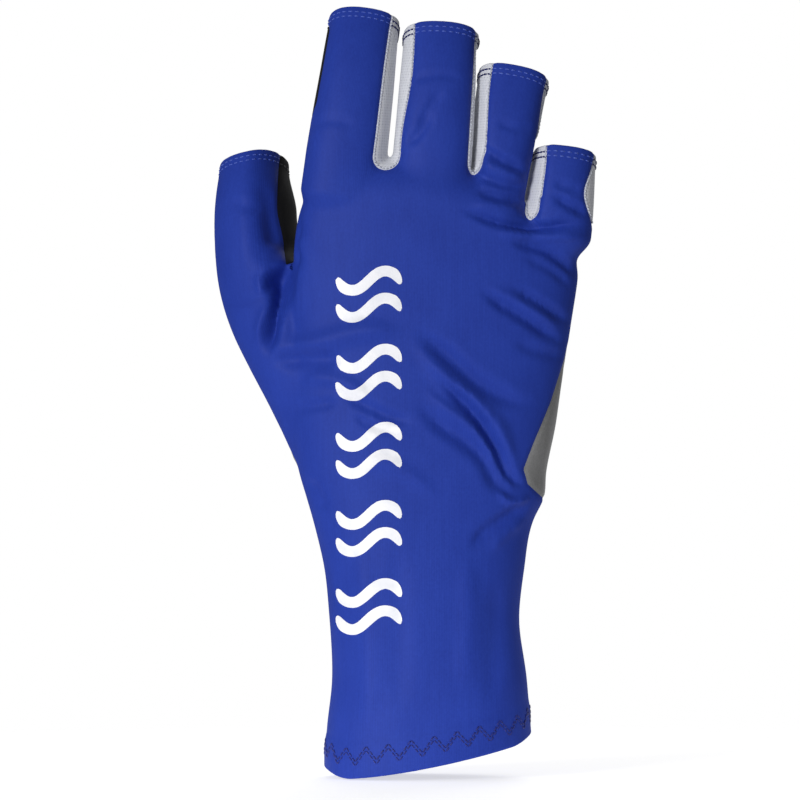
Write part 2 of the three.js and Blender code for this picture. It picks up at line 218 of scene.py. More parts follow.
def hand_distance(p):
    """The distance to the hand and cuff, without the digits."""
    x, y, z = p.T
    left, right, back, palm = (edge(z) for edge in hand_edges)
    centre_x, centre_y = (left + right) / 2, (back + palm) / 2
    tube = oval_distance(x - centre_x, y - centre_y, (right - left) / 2, (palm - back) / 2)
    slope = crotch_height(x + 0.5) - crotch_height(x - 0.5)
    cap = (z - crotch_height(x)) / np.sqrt(1 + slope ** 2)
    return soft_max(tube, cap, CROTCH_SOFTNESS)


def finger_frame(finger):
    """A finger's root, the ways along it and across it, and the radius that it curls with."""
    lean = math.radians(finger["lean"])
    along = np.array([math.sin(lean), 0, math.cos(lean)])
    across = np.array([math.cos(lean), 0, -math.sin(lean)])
    radius = finger["length"] / math.radians(finger["curl"])
    return np.array(finger["root"], float), along, across, radius


def finger_coordinates(finger, p):
    """How far each point is along the finger, across it towards the little finger, and towards the palm."""
    root, along, across, radius = finger_frame(finger)
    q = p - root
    t, y, u = q @ along, q[:, 1], q @ across
    bent = t > 0
    s = np.where(bent, radius * np.arctan2(t, radius - y), t)
    w = np.where(bent, radius - np.hypot(t, radius - y), y)
    return s, u, w


def finger_section(finger, s):
    """The half width and half depth at a place along the finger."""
    share = np.clip(s / finger["length"], 0, 1.15)
    full, reach = finger["reach"]
    taper = 1 - (1 - ROOT_TAPER) * smoothstep(-full, -reach, s)
    return [taper * (a + (b - a) * share) for a, b in (finger["width"], finger["depth"])]


def finger_distance(finger, s, u, w):
    half_width, half_depth = finger_section(finger, s)
    tube = soft_max(oval_distance(u, w, half_width, half_depth), -s - finger["reach"][1], 3.0)
    return soft_max(tube, s - finger["length"] - TRIMMED, 1.0)


thumb_line = curve_points(THUMB, 240)
thumb_along = length_along(thumb_line[:, :3])
thumb_tangent = unit(np.gradient(thumb_line[:, :3], thumb_along, axis=0))

# The thumb's inner side falls away from its back: from how far across, how steeply, and where it sets in
THUMB_SHEAR_START, THUMB_SHEAR, THUMB_SHEARED = -4.5, 0.85, (56, 68)
THUMB_FLATTENED = (34, 60)   # where along the thumb its section turns into a flattened oval
THUMB_NARROWED = (78, 94)    # where it narrows towards its end, by more on the inner side


def thumb_at(s):
    """Points on the thumb's middle line, and the directions along it there."""
    centre = np.column_stack([np.interp(s, thumb_along, thumb_line[:, c]) for c in range(3)])
    tangent = unit(np.column_stack([np.interp(s, thumb_along, thumb_tangent[:, c]) for c in range(3)]))
    return centre, tangent


def thumb_coordinates(p):
    """The same three coordinates as a finger's, along the thumb's curved middle line."""
    s = np.interp(p[:, 2], thumb_line[:, 2], thumb_along)
    for _ in range(5):
        centre, tangent = thumb_at(s)
        s = np.clip(s + 0.9 * np.sum((p - centre) * tangent, axis=1), 0, thumb_along[-1])
    centre, tangent = thumb_at(s)
    across = unit(np.cross((0, 1, 0), tangent))
    deep = np.cross(tangent, across)
    q = p - centre
    beyond = np.maximum(np.sum(q * across, axis=1) - THUMB_SHEAR_START, 0)
    q[:, 1] -= THUMB_SHEAR * beyond ** 2 / (beyond + 3.0) * smoothstep(*THUMB_SHEARED, s)
    past = np.sum(q * tangent, axis=1)
    return s + past, np.sum(q * across, axis=1), np.sum(q * deep, axis=1)


def thumb_distance(s, u, w):
    """The thumb's section is a flattened oval, turned so that its back faces outwards."""
    radius = np.interp(s, thumb_along, (thumb_line[:, 3] + thumb_line[:, 4]) / 2)
    radius = radius - smoothstep(*THUMB_NARROWED, s) * (0.4 + 1.5 * smoothstep(-3, 9, u))
    flatness = THUMB_FLATNESS * smoothstep(*THUMB_FLATTENED, s)
    cosine, sine = math.cos(THUMB_TURN), math.sin(THUMB_TURN)
    across, deep = u * cosine - w * sine, w * cosine + u * sine
    oval = oval_distance(across, deep, radius * (1 + flatness), radius * (1 - flatness))
    tube = soft_max(oval, -s - 2.0, 3.0)
    return soft_max(tube, s - THUMB_TIP - TRIMMED, 1.0)


WEB_SOFTNESS = 2.6       # how softly a digit runs into the hand
THUMB_SLOT = (135.0, 147.0)   # heights between which the slot beside the thumb opens
THUMB_SLOT_GAP = 0.9


def seen_from(p, near, coordinates, distance):
    """A digit's distance and coordinates for the points near it, and far-off values for the others."""
    d, s, u, w = (np.full(len(p), far) for far in (40.0, -60.0, 0.0, 0.0))
    s[near], u[near], w[near] = coordinates(p[near])
    d[near] = distance(s[near], u[near], w[near])
    return d, s, u, w


def distances(p):
    """The distance to the hand, and for each digit its distance and its own coordinates."""
    found = {}
    for name, finger in FINGERS.items():
        near = p[:, 2] > finger["root"][2] - finger["reach"][1] - 12
        found[name] = seen_from(p, near, partial(finger_coordinates, finger),
                                partial(finger_distance, finger))
    near = (p[:, 2] > 78) & (p[:, 0] < -5)
    found["thumb"] = seen_from(p, near, thumb_coordinates, thumb_distance)
    apart = {name: found[name][0] for name in FINGERS}
    for one, other in NEIGHBOURS:
        depth, fading = p[:, 1] - MIDDLE_Y, 1.0
        if one == "ring":
            before, full = (FINGERS[other]["length"] + shift for shift in SLANT_FADE)
            fading = np.where(depth > 0, smoothstep(before, full, found[other][1]), 1.0)
        slant = 2 * GAP_SLANT[one] * fading * depth
        for name, sign in ((one, 1), (other, -1)):
            divide = (sign * (found[one][0] - found[other][0] + slant) + FINGER_GAP[one]) / 2
            apart[name] = soft_max(apart[name], divide, 0.5)
    for name in FINGERS:
        found[name] = (apart[name], *found[name][1:])
    gap = -9 + (9 + THUMB_SLOT_GAP) * smoothstep(*THUMB_SLOT, p[:, 2])
    hand = soft_max(hand_distance(p), gap - found["thumb"][0], 3.0)
    return hand, found


def skin_field(p):
    """The field whose zero level is the skin."""
    hand, found = distances(p)
    total = None
    for d, *_ in found.values():
        joined = soft_min(hand, d, WEB_SOFTNESS)
        total = joined if total is None else soft_min(total, joined, 0.6)
    return total


def gradient(field, p, step=0.05):
    """How the field grows along each axis."""
    columns = []
    for axis in range(3):
        shift = np.zeros(3)
        shift[axis] = step
        columns.append((field(p + shift) - field(p - shift)) / (2 * step))
    return np.column_stack(columns)


# ------------------------------------------------------------------ a mesh of the field's zero level
def surface_net(field, low, high, step):
    """Vertices and quads of the zero level, one vertex in each cell that it crosses."""
    axes = [np.arange(a, b + step, step) for a, b in zip(low, high)]
    shape = tuple(len(axis) for axis in axes)
    values = np.empty(shape, np.float32)
    plane = np.array(np.meshgrid(axes[0], axes[1], indexing="ij")).reshape(2, -1).T
    for k, z in enumerate(axes[2]):
        p = np.column_stack([plane, np.full(len(plane), z)])
        values[:, :, k] = field(p).reshape(shape[:2])
    inside = values < 0
    cells = tuple(n - 1 for n in shape)
    total, count = np.zeros((int(np.prod(cells)), 3)), np.zeros(int(np.prod(cells)))
    quads = []
    for axis in range(3):
        first, second = [slice(None)] * 3, [slice(None)] * 3
        first[axis], second[axis] = slice(0, -1), slice(1, None)
        crossed = np.argwhere(inside[tuple(first)] != inside[tuple(second)])
        others = [a for a in range(3) if a != axis]
        ok = np.all([(crossed[:, a] > 0) & (crossed[:, a] < shape[a] - 1) for a in others], axis=0)
        crossed = crossed[ok]
        next_one = crossed.copy()
        next_one[:, axis] += 1
        v0, v1 = values[tuple(crossed.T)], values[tuple(next_one.T)]
        place = crossed.astype(float)
        place[:, axis] += v0 / (v0 - v1)
        corners = []
        for da, db in ((-1, -1), (0, -1), (0, 0), (-1, 0)):
            cell = crossed.copy()
            cell[:, others[0]] += da
            cell[:, others[1]] += db
            flat = np.ravel_multi_index(tuple(cell.T), cells)
            corners.append(flat)
            for c in range(3):
                total[:, c] += np.bincount(flat, place[:, c], minlength=len(total))
            count += np.bincount(flat, minlength=len(count))
        quad = np.column_stack(corners)
        flip = (v0 < 0) != (axis == 1)
        quad[~flip] = quad[~flip, ::-1]
        quads.append(quad)
    used = np.flatnonzero(count)
    index = np.full(len(count), -1)
    index[used] = np.arange(len(used))
    points = total[used] / count[used, None] * step + np.array(low)
    return points, index[np.vstack(quads)]


def split_quads(points, quads):
    """Two triangles for each quad, cut along its shorter diagonal."""
    a, b, c, d = (points[quads[:, k]] for k in range(4))
    short = np.linalg.norm(a - c, axis=1) < np.linalg.norm(b - d, axis=1)
    one = np.where(short[:, None], quads[:, [0, 1, 2]], quads[:, [0, 1, 3]])
    two = np.where(short[:, None], quads[:, [0, 2, 3]], quads[:, [1, 2, 3]])
    return np.vstack([one, two])


def edges_of(faces):
    """Each edge once, as a pair of point numbers."""
    sides = np.vstack([faces[:, [i, (i + 1) % faces.shape[1]]] for i in range(faces.shape[1])])
    return np.unique(np.sort(sides, axis=1), axis=0)


def relax(points, edges, amount=0.5):
    """Each point moved part of the way to the mean of its neighbours."""
    n = len(points)
    one, other = edges.T
    count = np.bincount(edges.ravel(), minlength=n)[:, None]
    mean = np.zeros_like(points)
    for c in range(points.shape[1]):
        mean[:, c] = np.bincount(one, points[other, c], n) + np.bincount(other, points[one, c], n)
    mean /= np.maximum(count, 1)
    return points + amount * (mean - points)


def vertex_normals(points, triangles):
    a, b, c = (points[triangles[:, k]] for k in range(3))
    face = np.cross(b - a, c - a)
    normals = np.column_stack([
        sum(np.bincount(triangles[:, k], face[:, axis], len(points)) for k in range(3)) for axis in range(3)
    ])
    return unit(normals)


def make_skin():
    """The skin before it is creased: a net of the field's zero level, evened out and put back on it."""
    points, quads = surface_net(skin_field, *SKIN_BOX, SKIN_STEP)
    edges = edges_of(quads)
    for _ in range(3):
        points = relax(points, edges)
        slope = gradient(skin_field, points)
        steep = np.maximum(np.sum(slope ** 2, axis=1), 0.2)
        points = points - slope * (skin_field(points) / steep)[:, None]
    return points, split_quads(points, quads)


# ------------------------------------------------------------------ creases and ridges
FOLD_STRENGTH = 1.45
# Each fold on the back: the places (x, z) that it passes, its height, which is less than nought for a
# crease, and its half width
BACK_FOLDS = [
    # the thumb's root
    ([(-41.6, 162.2), (-45.1, 155.2), (-49.5, 149.9), (-52.4, 146.5)], -2.6, 3.4),
    ([(-43.6, 164.0), (-48.0, 158.4), (-51.2, 151.7), (-52.6, 144.0)], 1.2, 1.7),
    ([(-43.0, 154.5), (-46.2, 147.4), (-49.6, 141.0), (-52.0, 134.6), (-52.4, 128.0)], 1.3, 1.5),
    ([(-42.0, 155.5), (-45.0, 146.6), (-47.9, 139.4), (-49.6, 132.6), (-49.8, 125.5)], -3.3, 2.3),
    ([(-47.4, 186.0), (-46.6, 176.0), (-45.4, 166.0), (-43.6, 157.0)], -2.6, 4.6),
    # the band that runs from the thumb's root to the heel of the hand
    ([(-51.0, 127.2), (-46.0, 128.6), (-36.9, 129.6), (-24.4, 133.1), (-15.0, 134.1), (-7.0, 132.0)],
     1.0, 3.0),
    ([(-49.5, 123.9), (-40.0, 125.6), (-32.2, 125.4), (-25.0, 124.8)], -1.0, 2.6),
    # the long slanting folds across the back, gathered into a hook at the heel's outer corner
    ([(-4.8, 134.8), (3.2, 128.5), (9.6, 122.9), (15.2, 118.1), (20.8, 114.9), (26.3, 112.5),
      (34.3, 112.1)], -1.3, 2.5),
    ([(-6.3, 131.7), (5.6, 119.7), (15.2, 110.9), (21.5, 103.8), (24.7, 97.4), (27.6, 91.0)], 0.9, 2.6),
    ([(1.6, 120.0), (9.5, 113.5), (15.6, 107.0), (19.8, 100.5), (22.8, 94.5), (25.4, 89.3), (28.6, 86.4),
      (33.0, 86.8)], -1.9, 1.7),
    ([(-2.0, 116.0), (6.2, 109.6), (13.4, 103.8), (18.6, 97.4), (21.6, 90.6), (24.4, 86.0)], 0.7, 1.6),
    ([(-4.8, 112.5), (3.2, 105.3), (11.2, 99.8), (17.6, 94.2), (20.8, 87.8), (24.7, 83.8), (29.8, 83.2)],
     -1.2, 2.3),
    ([(21.0, 85.6), (23.6, 82.2), (27.2, 80.9), (32.2, 82.6)], 0.7, 1.2),
    # the thumb's side of the hand
    ([(-40.0, 117.0), (-34.0, 119.3), (-25.0, 117.6), (-18.0, 113.0)], 0.6, 1.9),
    ([(-43.5, 109.6), (-35.0, 110.8), (-27.0, 112.2)], -0.6, 1.6),
    ([(-27.5, 114.3), (-20.0, 111.0), (-12.0, 107.2), (-4.0, 105.4)], -0.9, 1.6),
    ([(-24.0, 108.2), (-17.0, 104.6), (-8.0, 102.2)], -0.5, 1.3),
    ([(-25.0, 92.0), (-15.0, 93.4), (-4.0, 88.0), (4.0, 81.5)], 0.4, 2.2),
    ([(-38.5, 88.5), (-34.5, 83.5), (-32.0, 77.0)], -0.5, 1.8),
    # the little finger's side of the hand
    ([(15.5, 146.4), (23.1, 142.0), (31.1, 137.2), (35.9, 134.0), (42.6, 130.0)], -1.1, 1.7),
    ([(25.5, 147.6), (32.3, 144.0), (38.3, 140.4), (45.0, 136.0)], -0.9, 1.5),
    ([(17.5, 148.5), (26.5, 143.6), (34.0, 139.2), (42.0, 134.2)], 0.5, 1.6),
    ([(26.0, 130.5), (35.0, 127.4), (43.0, 125.8)], -0.5, 1.6),
    ([(24.0, 162.0), (34.5, 159.6), (41.0, 155.8), (47.5, 150.2)], -0.9, 1.4),
    ([(29.0, 157.0), (38.0, 153.0), (45.0, 147.2)], -0.5, 1.3),
    ([(9.0, 171.8), (16.0, 169.4), (24.0, 167.2), (36.0, 166.2), (44.0, 167.2), (50.5, 166.6)], -1.5, 1.3),
    ([(20.0, 164.6), (34.0, 163.4), (50.5, 163.4)], 0.7, 1.5),
    # the roots of the ring and little fingers
    ([(15.6, 191.6), (22.5, 187.2), (31.1, 183.4)], -1.0, 1.5),
    ([(16.2, 186.6), (24.0, 183.2), (31.5, 181.0)], 0.5, 1.4),
    ([(14.8, 182.6), (24.0, 179.2), (31.2, 178.6)], -1.0, 1.3),
    ([(14.0, 177.6), (23.0, 175.6), (31.0, 174.6)], -0.8, 1.3),
    ([(12.5, 173.8), (22.0, 172.4), (31.0, 170.4)], 0.6, 1.4),
    ([(38.1, 176.0), (44.4, 172.7), (50.5, 170.0)], -1.0, 1.3),
    ([(38.4, 180.5), (44.0, 178.4), (48.0, 178.9)], -0.5, 1.2),
    # the other fingers
    ([(-7.0, 191.0), (-2.0, 196.4), (1.6, 202.4)], -0.7, 1.5),
    ([(-4.0, 196.8), (1.0, 204.0), (5.0, 209.6)], -0.5, 1.4),
    ([(-5.5, 211.6), (2.5, 213.6), (11.5, 212.4)], -0.35, 1.2),
    ([(20.5, 199.4), (27.0, 197.0), (34.0, 197.6)], -0.4, 1.2),
    ([(-38.5, 197.0), (-31.0, 199.5), (-22.0, 198.0)], -0.3, 1.6),
    ([(-62.5, 176.0), (-57.0, 173.2), (-51.0, 172.4)], -0.35, 1.8),
    # the heel of the hand and the cuff
    ([(32.6, 81.0), (24.0, 76.0), (17.0, 71.1), (12.6, 65.8)], -0.9, 1.8),
    ([(30.5, 76.0), (23.5, 71.0), (19.0, 65.0)], 0.5, 1.8),
    ([(-21.5, 72.0), (-19.5, 50.0), (-18.5, 26.0), (-19.0, 8.0)], 0.55, 3.4),
    ([(-10.0, 70.0), (-9.0, 45.0), (-9.0, 14.0)], -0.4, 3.4),
    ([(12.0, 66.0), (12.5, 45.0), (11.0, 20.0)], 0.5, 3.2),
    ([(21.0, 58.0), (21.0, 40.0), (19.0, 16.0)], -0.45, 3.0),
]
# On the palm, likewise
PALM_FOLDS = [
    ([(-34.0, 150.0), (-22.0, 138.0), (-12.0, 120.0), (-9.0, 98.0)], -1.3, 2.4),
    ([(-36.0, 157.0), (-16.0, 153.5), (6.0, 146.0), (22.0, 137.0)], -1.0, 2.0),
    ([(44.0, 158.5), (24.0, 157.0), (4.0, 162.5), (-10.0, 171.0)], -1.0, 2.0),
    ([(30.0, 104.0), (20.0, 98.0), (14.0, 90.0)], -0.8, 2.0),
    ([(-30.0, 92.0), (-12.0, 88.5), (8.0, 89.0), (26.0, 93.0)], -0.9, 2.2),
    ([(-26.0, 84.0), (-6.0, 80.0), (18.0, 82.0)], 0.6, 2.4),
    ([(-40.0, 128.0), (-30.0, 120.0), (-25.0, 108.0)], 0.6, 3.0),
    ([(-22.0, 64.0), (-16.0, 40.0), (-18.0, 16.0)], 0.45, 3.2),
    ([(8.0, 66.0), (12.0, 44.0), (10.0, 18.0)], 0.5, 3.4),
]


def to_segment(place, a, b):
    """How far each place is from the stretch from a to b, and the share of it to the nearest point."""
    side = b - a
    t = np.clip((place - a) @ side / (side @ side), 0, 1)
    return np.linalg.norm(place - a - t[:, None] * side, axis=1), t


def fold_height(x, z, folds):
    """How far the cloth stands out at each place because of these folds."""
    total = np.zeros(len(x))
    for corners, height, width in folds:
        line = curve_points(np.array(corners, float), 28)
        reach = 4.0 * width
        low, high = line.min(axis=0) - reach, line.max(axis=0) + reach
        near = np.flatnonzero((x > low[0]) & (x < high[0]) & (z > low[1]) & (z < high[1]))
        if len(near) == 0:
            continue
        place = np.column_stack([x[near], z[near]])
        best, along = np.full(len(near), 1e9), np.zeros(len(near))
        for k in range(len(line) - 1):
            d, t = to_segment(place, line[k], line[k + 1])
            closer = d < best
            best[closer], along[closer] = d[closer], (k + t[closer]) / (len(line) - 1)
        fade = smoothstep(0, 0.28, along) * smoothstep(1, 0.72, along)
        q = (best / (1.25 * width * (0.55 + 0.45 * fade))) ** 2
        total[near] += FOLD_STRENGTH * height * fade * (1 - 0.6 * q) * np.exp(-0.9 * q)
    return total


def rumple(points):
    """Small unevenness that any worn cloth has, made of a few crossing waves."""
    x, y, z = points.T
    waves = (
        np.sin(x / 5.3 + z / 11.0) * np.sin(z / 8.7 - y / 6.0)
        + 0.6 * np.sin(x / 3.1 - z / 7.9 + 1.3) * np.sin(z / 5.1 + y / 4.2)
    )
    return 0.045 * waves


# ------------------------------------------------------------------ the skin, and what its points know
HEM_LOW, HEM_RISE = -4.5, 11.0    # the cuff's edge: its lowest height, and how much it rises across the cuff
CUFF_SIDES = (-24.0, 0.045), (26.0, 0.05)    # beyond these x its edge also turns up, ever more steeply
# How far across each finger its pale strips start, near its root and near its tip: first the strip on the
# thumb's side, then the other
WEB_SEAMS = {
    "index": (None, (8.4, 8.0)),
    "middle": ((10.9, 8.4), (10.6, 10.8)),
    "ring": ((4.9, 7.2), (11.2, 10.2)),
    "little": ((6.0, 5.7), None),
}
WEB_BOTTOMS = {("index", "middle"): 184.1, ("middle", "ring"): 181.6, ("ring", "little"): 167.8}
# The tab of palm leather that comes round the heel of the hand to the back, as (x, z)
HEEL_TAB = [(47, 136), (44.4, 130), (38.5, 112), (32.5, 98), (29.8, 91), (31.2, 86.4), (36.5, 81.5),
            (66, 78), (66, 136)]
LEATHER_EDGE = 5.0       # how far from its middle towards the palm the hand's and fingers' leather starts
LEATHER_LOW, LEATHER_RISE = 81.5, 3.5    # the leather's lower edge at x = 0, and how much higher it is at 30
THUMB_LEATHER = 7.2      # how far across the thumb its palm panel starts
INDEX_WRAP = 8.6         # how far the index finger's leather comes round its outer side
FAR = 9                  # quantities that describe the skin are held within this of nought


class Skin:
    def __init__(self, points, triangles):
        self.points, self.triangles, self.data = points, triangles, {}

    def cut(self, name, tolerance=0.05):
        """Adds a point wherever the quantity crosses nought on an edge, so each triangle is on one side."""
        value = self.data[name]
        value[np.abs(value) < tolerance] = 0
        sign = np.sign(value)
        crossing = (sign[self.triangles].min(axis=1) < 0) & (sign[self.triangles].max(axis=1) > 0)
        whole, tri = self.triangles[~crossing], self.triangles[crossing]
        if len(tri) == 0:
            return
        s = sign[tri]
        turn = [(0, 1), (1, 2), (2, 0)]
        divided = np.stack([s[:, a] * s[:, b] < 0 for a, b in turn], axis=1)
        pairs = np.stack([np.sort(tri[:, [a, b]], axis=1) for a, b in turn], axis=1)
        edges, index = np.unique(pairs[divided], axis=0, return_inverse=True)
        a, b = edges.T
        t = (value[a] / (value[a] - value[b]))[:, None]
        middle = np.full(divided.shape, -1)
        middle[divided] = len(self.points) + index.ravel()
        self.points = np.vstack([self.points, self.points[a] * (1 - t) + self.points[b] * t])
        for key, old in self.data.items():
            t_shape = t if old.ndim > 1 else t[:, 0]
            new = old[a] * (1 - t_shape) + old[b] * t_shape
            self.data[key] = np.concatenate([old, new])
        self.data[name][-len(edges):] = 0
        made = [whole]
        for k in range(3):
            one, two, three = tri[:, k], tri[:, (k + 1) % 3], tri[:, (k + 2) % 3]
            m, n = middle[:, k], middle[:, (k + 2) % 3]
            rows = divided[:, k] & (divided.sum(axis=1) == 1)
            made += [np.column_stack([one, m, three])[rows], np.column_stack([m, two, three])[rows]]
            rows = divided[:, k] & divided[:, (k + 2) % 3]
            made += [np.column_stack(c)[rows] for c in ((one, m, n), (m, two, three), (m, three, n))]
        self.triangles = np.vstack(made)

    def side(self, name):
        """For each triangle, whether the named quantity is above nought there."""
        return self.data[name][self.triangles].sum(axis=1) > 0


def polygon_distance(corners, x, z):
    """The distance to a closed outline, more than nought inside it."""
    corners = np.array(corners, float)
    place = np.column_stack([x, z])
    best, inside = np.full(len(x), 1e9), np.zeros(len(x), bool)
    for a, b in zip(corners, np.roll(corners, -1, axis=0)):
        best = np.minimum(best, to_segment(place, a, b)[0])
        crosses = (a[1] > z) != (b[1] > z)
        with np.errstate(divide="ignore", invalid="ignore"):
            at = a[0] + (z - a[1]) / (b[1] - a[1]) * (b[0] - a[0])
        inside ^= crosses & (x < at)
    return np.where(inside, best, -best)


def smooth_outline(corners, count):
    """A rounded closed outline through a few corners."""
    wrapped = [corners[-2], corners[-1], *corners, corners[0], corners[1]]
    line = curve_points(np.array(wrapped, float), count)
    n = len(corners) + 3
    return line[int(count * 2 / n): int(count * (n - 1) / n)]


def hem_height(x):
    """The height of the cuff's edge above each x: it slants, and turns up a little at both sides."""
    (left, left_turn), (right, right_turn) = CUFF_SIDES
    turned_up = left_turn * np.maximum(left - x, 0) ** 2 + right_turn * np.maximum(x - right, 0) ** 2
    return HEM_LOW + HEM_RISE * np.clip((x + 30) / 60, 0, 1.1) ** 1.5 + turned_up


PRINT_X, PRINT_LOW, PRINT_PITCH, PRINT_MARKS = -18.4, 48.5, 24.2, 5
PRINT_HALF, PRINT_SWING, PRINT_GAP, PRINT_STROKE = 10.3, 3.0, 8.4, 3.3


def wave_print(x, z):
    """The printed motif: five pairs of plain wave strokes up the back, more than nought inside a stroke."""
    best = np.full(len(x), -9.0)
    for mark in range(PRINT_MARKS):
        centre = PRINT_LOW + mark * PRINT_PITCH
        for offset in (-PRINT_GAP / 2, PRINT_GAP / 2):
            turn = (x - PRINT_X) / PRINT_HALF * math.pi
            swing = PRINT_SWING * np.sin(turn)
            slope = PRINT_SWING * math.pi / PRINT_HALF * np.cos(turn)
            across = np.abs(z - centre - offset - swing) / np.sqrt(1 + slope ** 2)
            past = np.abs(x - PRINT_X) - (PRINT_HALF - PRINT_STROKE / 2)
            d = np.where(past > 0, np.hypot(across, past), across)
            best = np.maximum(best, PRINT_STROKE / 2 - d)
    return best


# The pads on the palm, as (x, z)
HEEL_PAD = [(1, 126), (-3, 112), (1, 99), (11, 96.5), (20, 101), (22, 114), (18, 126), (9, 129)]
GRIP_STRIP = [(-30, 166), (-30, 152), (-10, 147), (14, 145), (36, 140), (41, 148), (38, 157), (10, 166),
              (-12, 171)]
FINGER_PATCH = {"index": (21, 39), "middle": (21, 36), "thumb": (66, 84)}    # where along each it lies
PATCH_HALF_WIDTH = 7.4
DIGITS = ["index", "middle", "ring", "little", "thumb"]
LENGTH = {name: finger["length"] for name, finger in FINGERS.items()} | {"thumb": THUMB_TIP}


# Where each digit's cloth would lie beside the others' if it were flat
CLOTH_X = {"index": -25.3, "middle": 1.5, "ring": 23.4, "little": 42.3, "thumb": -50.0}


def held(value, mask=True):
    """A quantity kept within its bounds, and well below nought outside the mask."""
    return np.where(mask, np.clip(value, -FAR, FAR), -FAR)


def web_quantity(left, right, bottom, z, owner, found):
    """More than nought on the pale cloth between two fingers: the web and the strips beside it."""
    seams, beside = [], np.full(len(z), -9.0)
    for name, sign, (at_root, at_tip) in ((left, 1, WEB_SEAMS[left][1]), (right, -1, WEB_SEAMS[right][0])):
        _, along, across, deep = found[name]
        seam = at_root + (at_tip - at_root) * smoothstep(3, 28, along)
        seams.append(sign * across - seam)
        # where the gap cuts into the finger, its side is nearer the middle than the seam is
        half_width, half_depth = finger_section(FINGERS[name], along)
        turn = half_depth * np.sqrt(np.maximum(1 - (seam / half_width) ** 2, 0.02))
        facing = soft_min(deep + turn, sign * across - 0.4 * half_width, 1.0)
        facing = facing - 6 * smoothstep(7, 3, along) * smoothstep(1.5, -1.5, deep)
        beside = np.where(owner == DIGITS.index(name), facing, beside)
    inner = np.maximum(soft_min(*seams, 0.5), beside)
    return np.where(z > bottom - 12, soft_min(inner, z - bottom, 5.0), -9)


def outer_strip_quantity(z, found):
    """More than nought on the pale strip down the little finger's outer side, which a notch cuts into."""
    _, along, across, deep = found["little"]
    notch = 2.7 * np.exp(-((z - 177.0) / 6.5) ** 2)
    seam = finger_section(FINGERS["little"], along)[0] - 0.5 - notch
    return soft_min(across - seam, z - 166.5 - 0.1 * deep ** 2, 3.0)


def leather_quantity(p, hand, d, owner, on_finger, s, u, w):
    """More than nought on the palm's leather, on the leather of each digit and on the tab at the heel."""
    x, y, z = p.T
    wrap = INDEX_WRAP * smoothstep(4, 15, s) * smoothstep(-2, -8, u) * smoothstep(46, 37, s)
    of_finger = w - LEATHER_EDGE + np.where(owner == DIGITS.index("index"), wrap, 0)
    low_edge = z - (LEATHER_LOW + LEATHER_RISE * (x / 30) ** 2)
    thumb_side = 9.5 * smoothstep(-33, -47, x) * smoothstep(92, 104, z)
    of_hand = soft_min(y - MIDDLE_Y - LEATHER_EDGE - thumb_side, low_edge, 2.0)
    leather = np.where(on_finger & (s > 0), of_finger, of_hand)
    of_thumb = soft_max(u - (THUMB_LEATHER + 1.6 * smoothstep(78, 66, s)), w - 3.0, 3.0)
    on_thumb = owner == DIGITS.index("thumb")
    share = smoothstep(30, 50, s) * smoothstep(-2.5, 2.5, hand - d[:, DIGITS.index("thumb")]) * on_thumb
    leather = leather * (1 - share) + of_thumb * share
    return np.maximum(leather, np.where(y < 9, polygon_distance(HEEL_TAB, x, z), -9))


def describe(skin):
    """Works out, for each point, the quantities that the seams, edges and patches lie along."""
    p, data = skin.points, skin.data
    x, y, z = p.T
    hand = hand_distance(p)
    _, found = distances(p)
    d = np.column_stack([found[name][0] for name in DIGITS])
    owner = d.argmin(axis=1)
    s, u, w = (np.choose(owner, [found[name][k] for name in DIGITS]) for k in (1, 2, 3))
    nearest = d.min(axis=1)
    on_thumb = owner == DIGITS.index("thumb")
    on_finger = ~on_thumb & (nearest < 4)

    # along each digit: past its root, and past its end
    finger_root = np.where(nearest < 4, s - FINGER_ROOT, -FAR)
    data["digit"] = held(np.where(on_thumb, np.minimum(s - THUMB_ROOT, (hand - nearest) * 2), finger_root))
    end = s - np.choose(owner, [LENGTH[name] for name in DIGITS])
    data["end"] = np.where((nearest < 5) & (z > 150), end, -99)
    data["cuff"] = hem_height(x) - z
    data["trim"] = np.maximum(data["end"], data["cuff"])
    data["owner"] = owner.astype(float)

    # the light cloth between the fingers and down the outer side, and the leather of the palm
    light = np.full(len(p), -9.0)
    for (left, right), bottom in WEB_BOTTOMS.items():
        light = np.maximum(light, web_quantity(left, right, bottom, z, owner, found))
    on_little = (owner == DIGITS.index("little")) & (z > 160)
    light = np.maximum(light, np.where(on_little, outer_strip_quantity(z, found), -9))
    data["light"] = held(np.minimum(light, LEATHER_EDGE - np.where(s > 0, w, y - MIDDLE_Y)))
    data["palm"] = held(leather_quantity(p, hand, d, owner, on_finger, s, u, w))

    # what is printed on the back, and what is sewn on the palm
    data["print"] = np.where(y < -4.5, wave_print(x, z), -9)
    data["heel_pad"] = held(polygon_distance(smooth_outline(HEEL_PAD, 60), x, z), y > 2)
    data["grip_strip"] = held(polygon_distance(smooth_outline(GRIP_STRIP, 80), x, z), y > 2)
    for name, (low, high) in FINGER_PATCH.items():
        _, along, across, deep = found[name]
        beside = PATCH_HALF_WIDTH - np.abs(across - (3.0 if name == "thumb" else 0))
        inside = soft_min(soft_min(along - low, high - along, 4.0), beside, 4.0)
        data[name + "_patch"] = held(inside, (owner == DIGITS.index(name)) & (deep > 2))

    # where the cloth lies when flat: across it, and along it
    middle = (np.interp(z, HAND[:, 0], HAND[:, 1]) + np.interp(z, HAND[:, 0], HAND[:, 2])) / 2
    across_hand = x + np.tanh((x - middle) / 6) * np.maximum(y + 17, 0)
    across_digit = np.choose(owner, [CLOTH_X[name] for name in DIGITS]) + u + np.tanh(u / 3) * (w + 10)
    share = smoothstep(0, 4, data["digit"])
    data["cloth"] = np.column_stack([across_hand * (1 - share) + across_digit * share, z, y])
    data["across"] = u


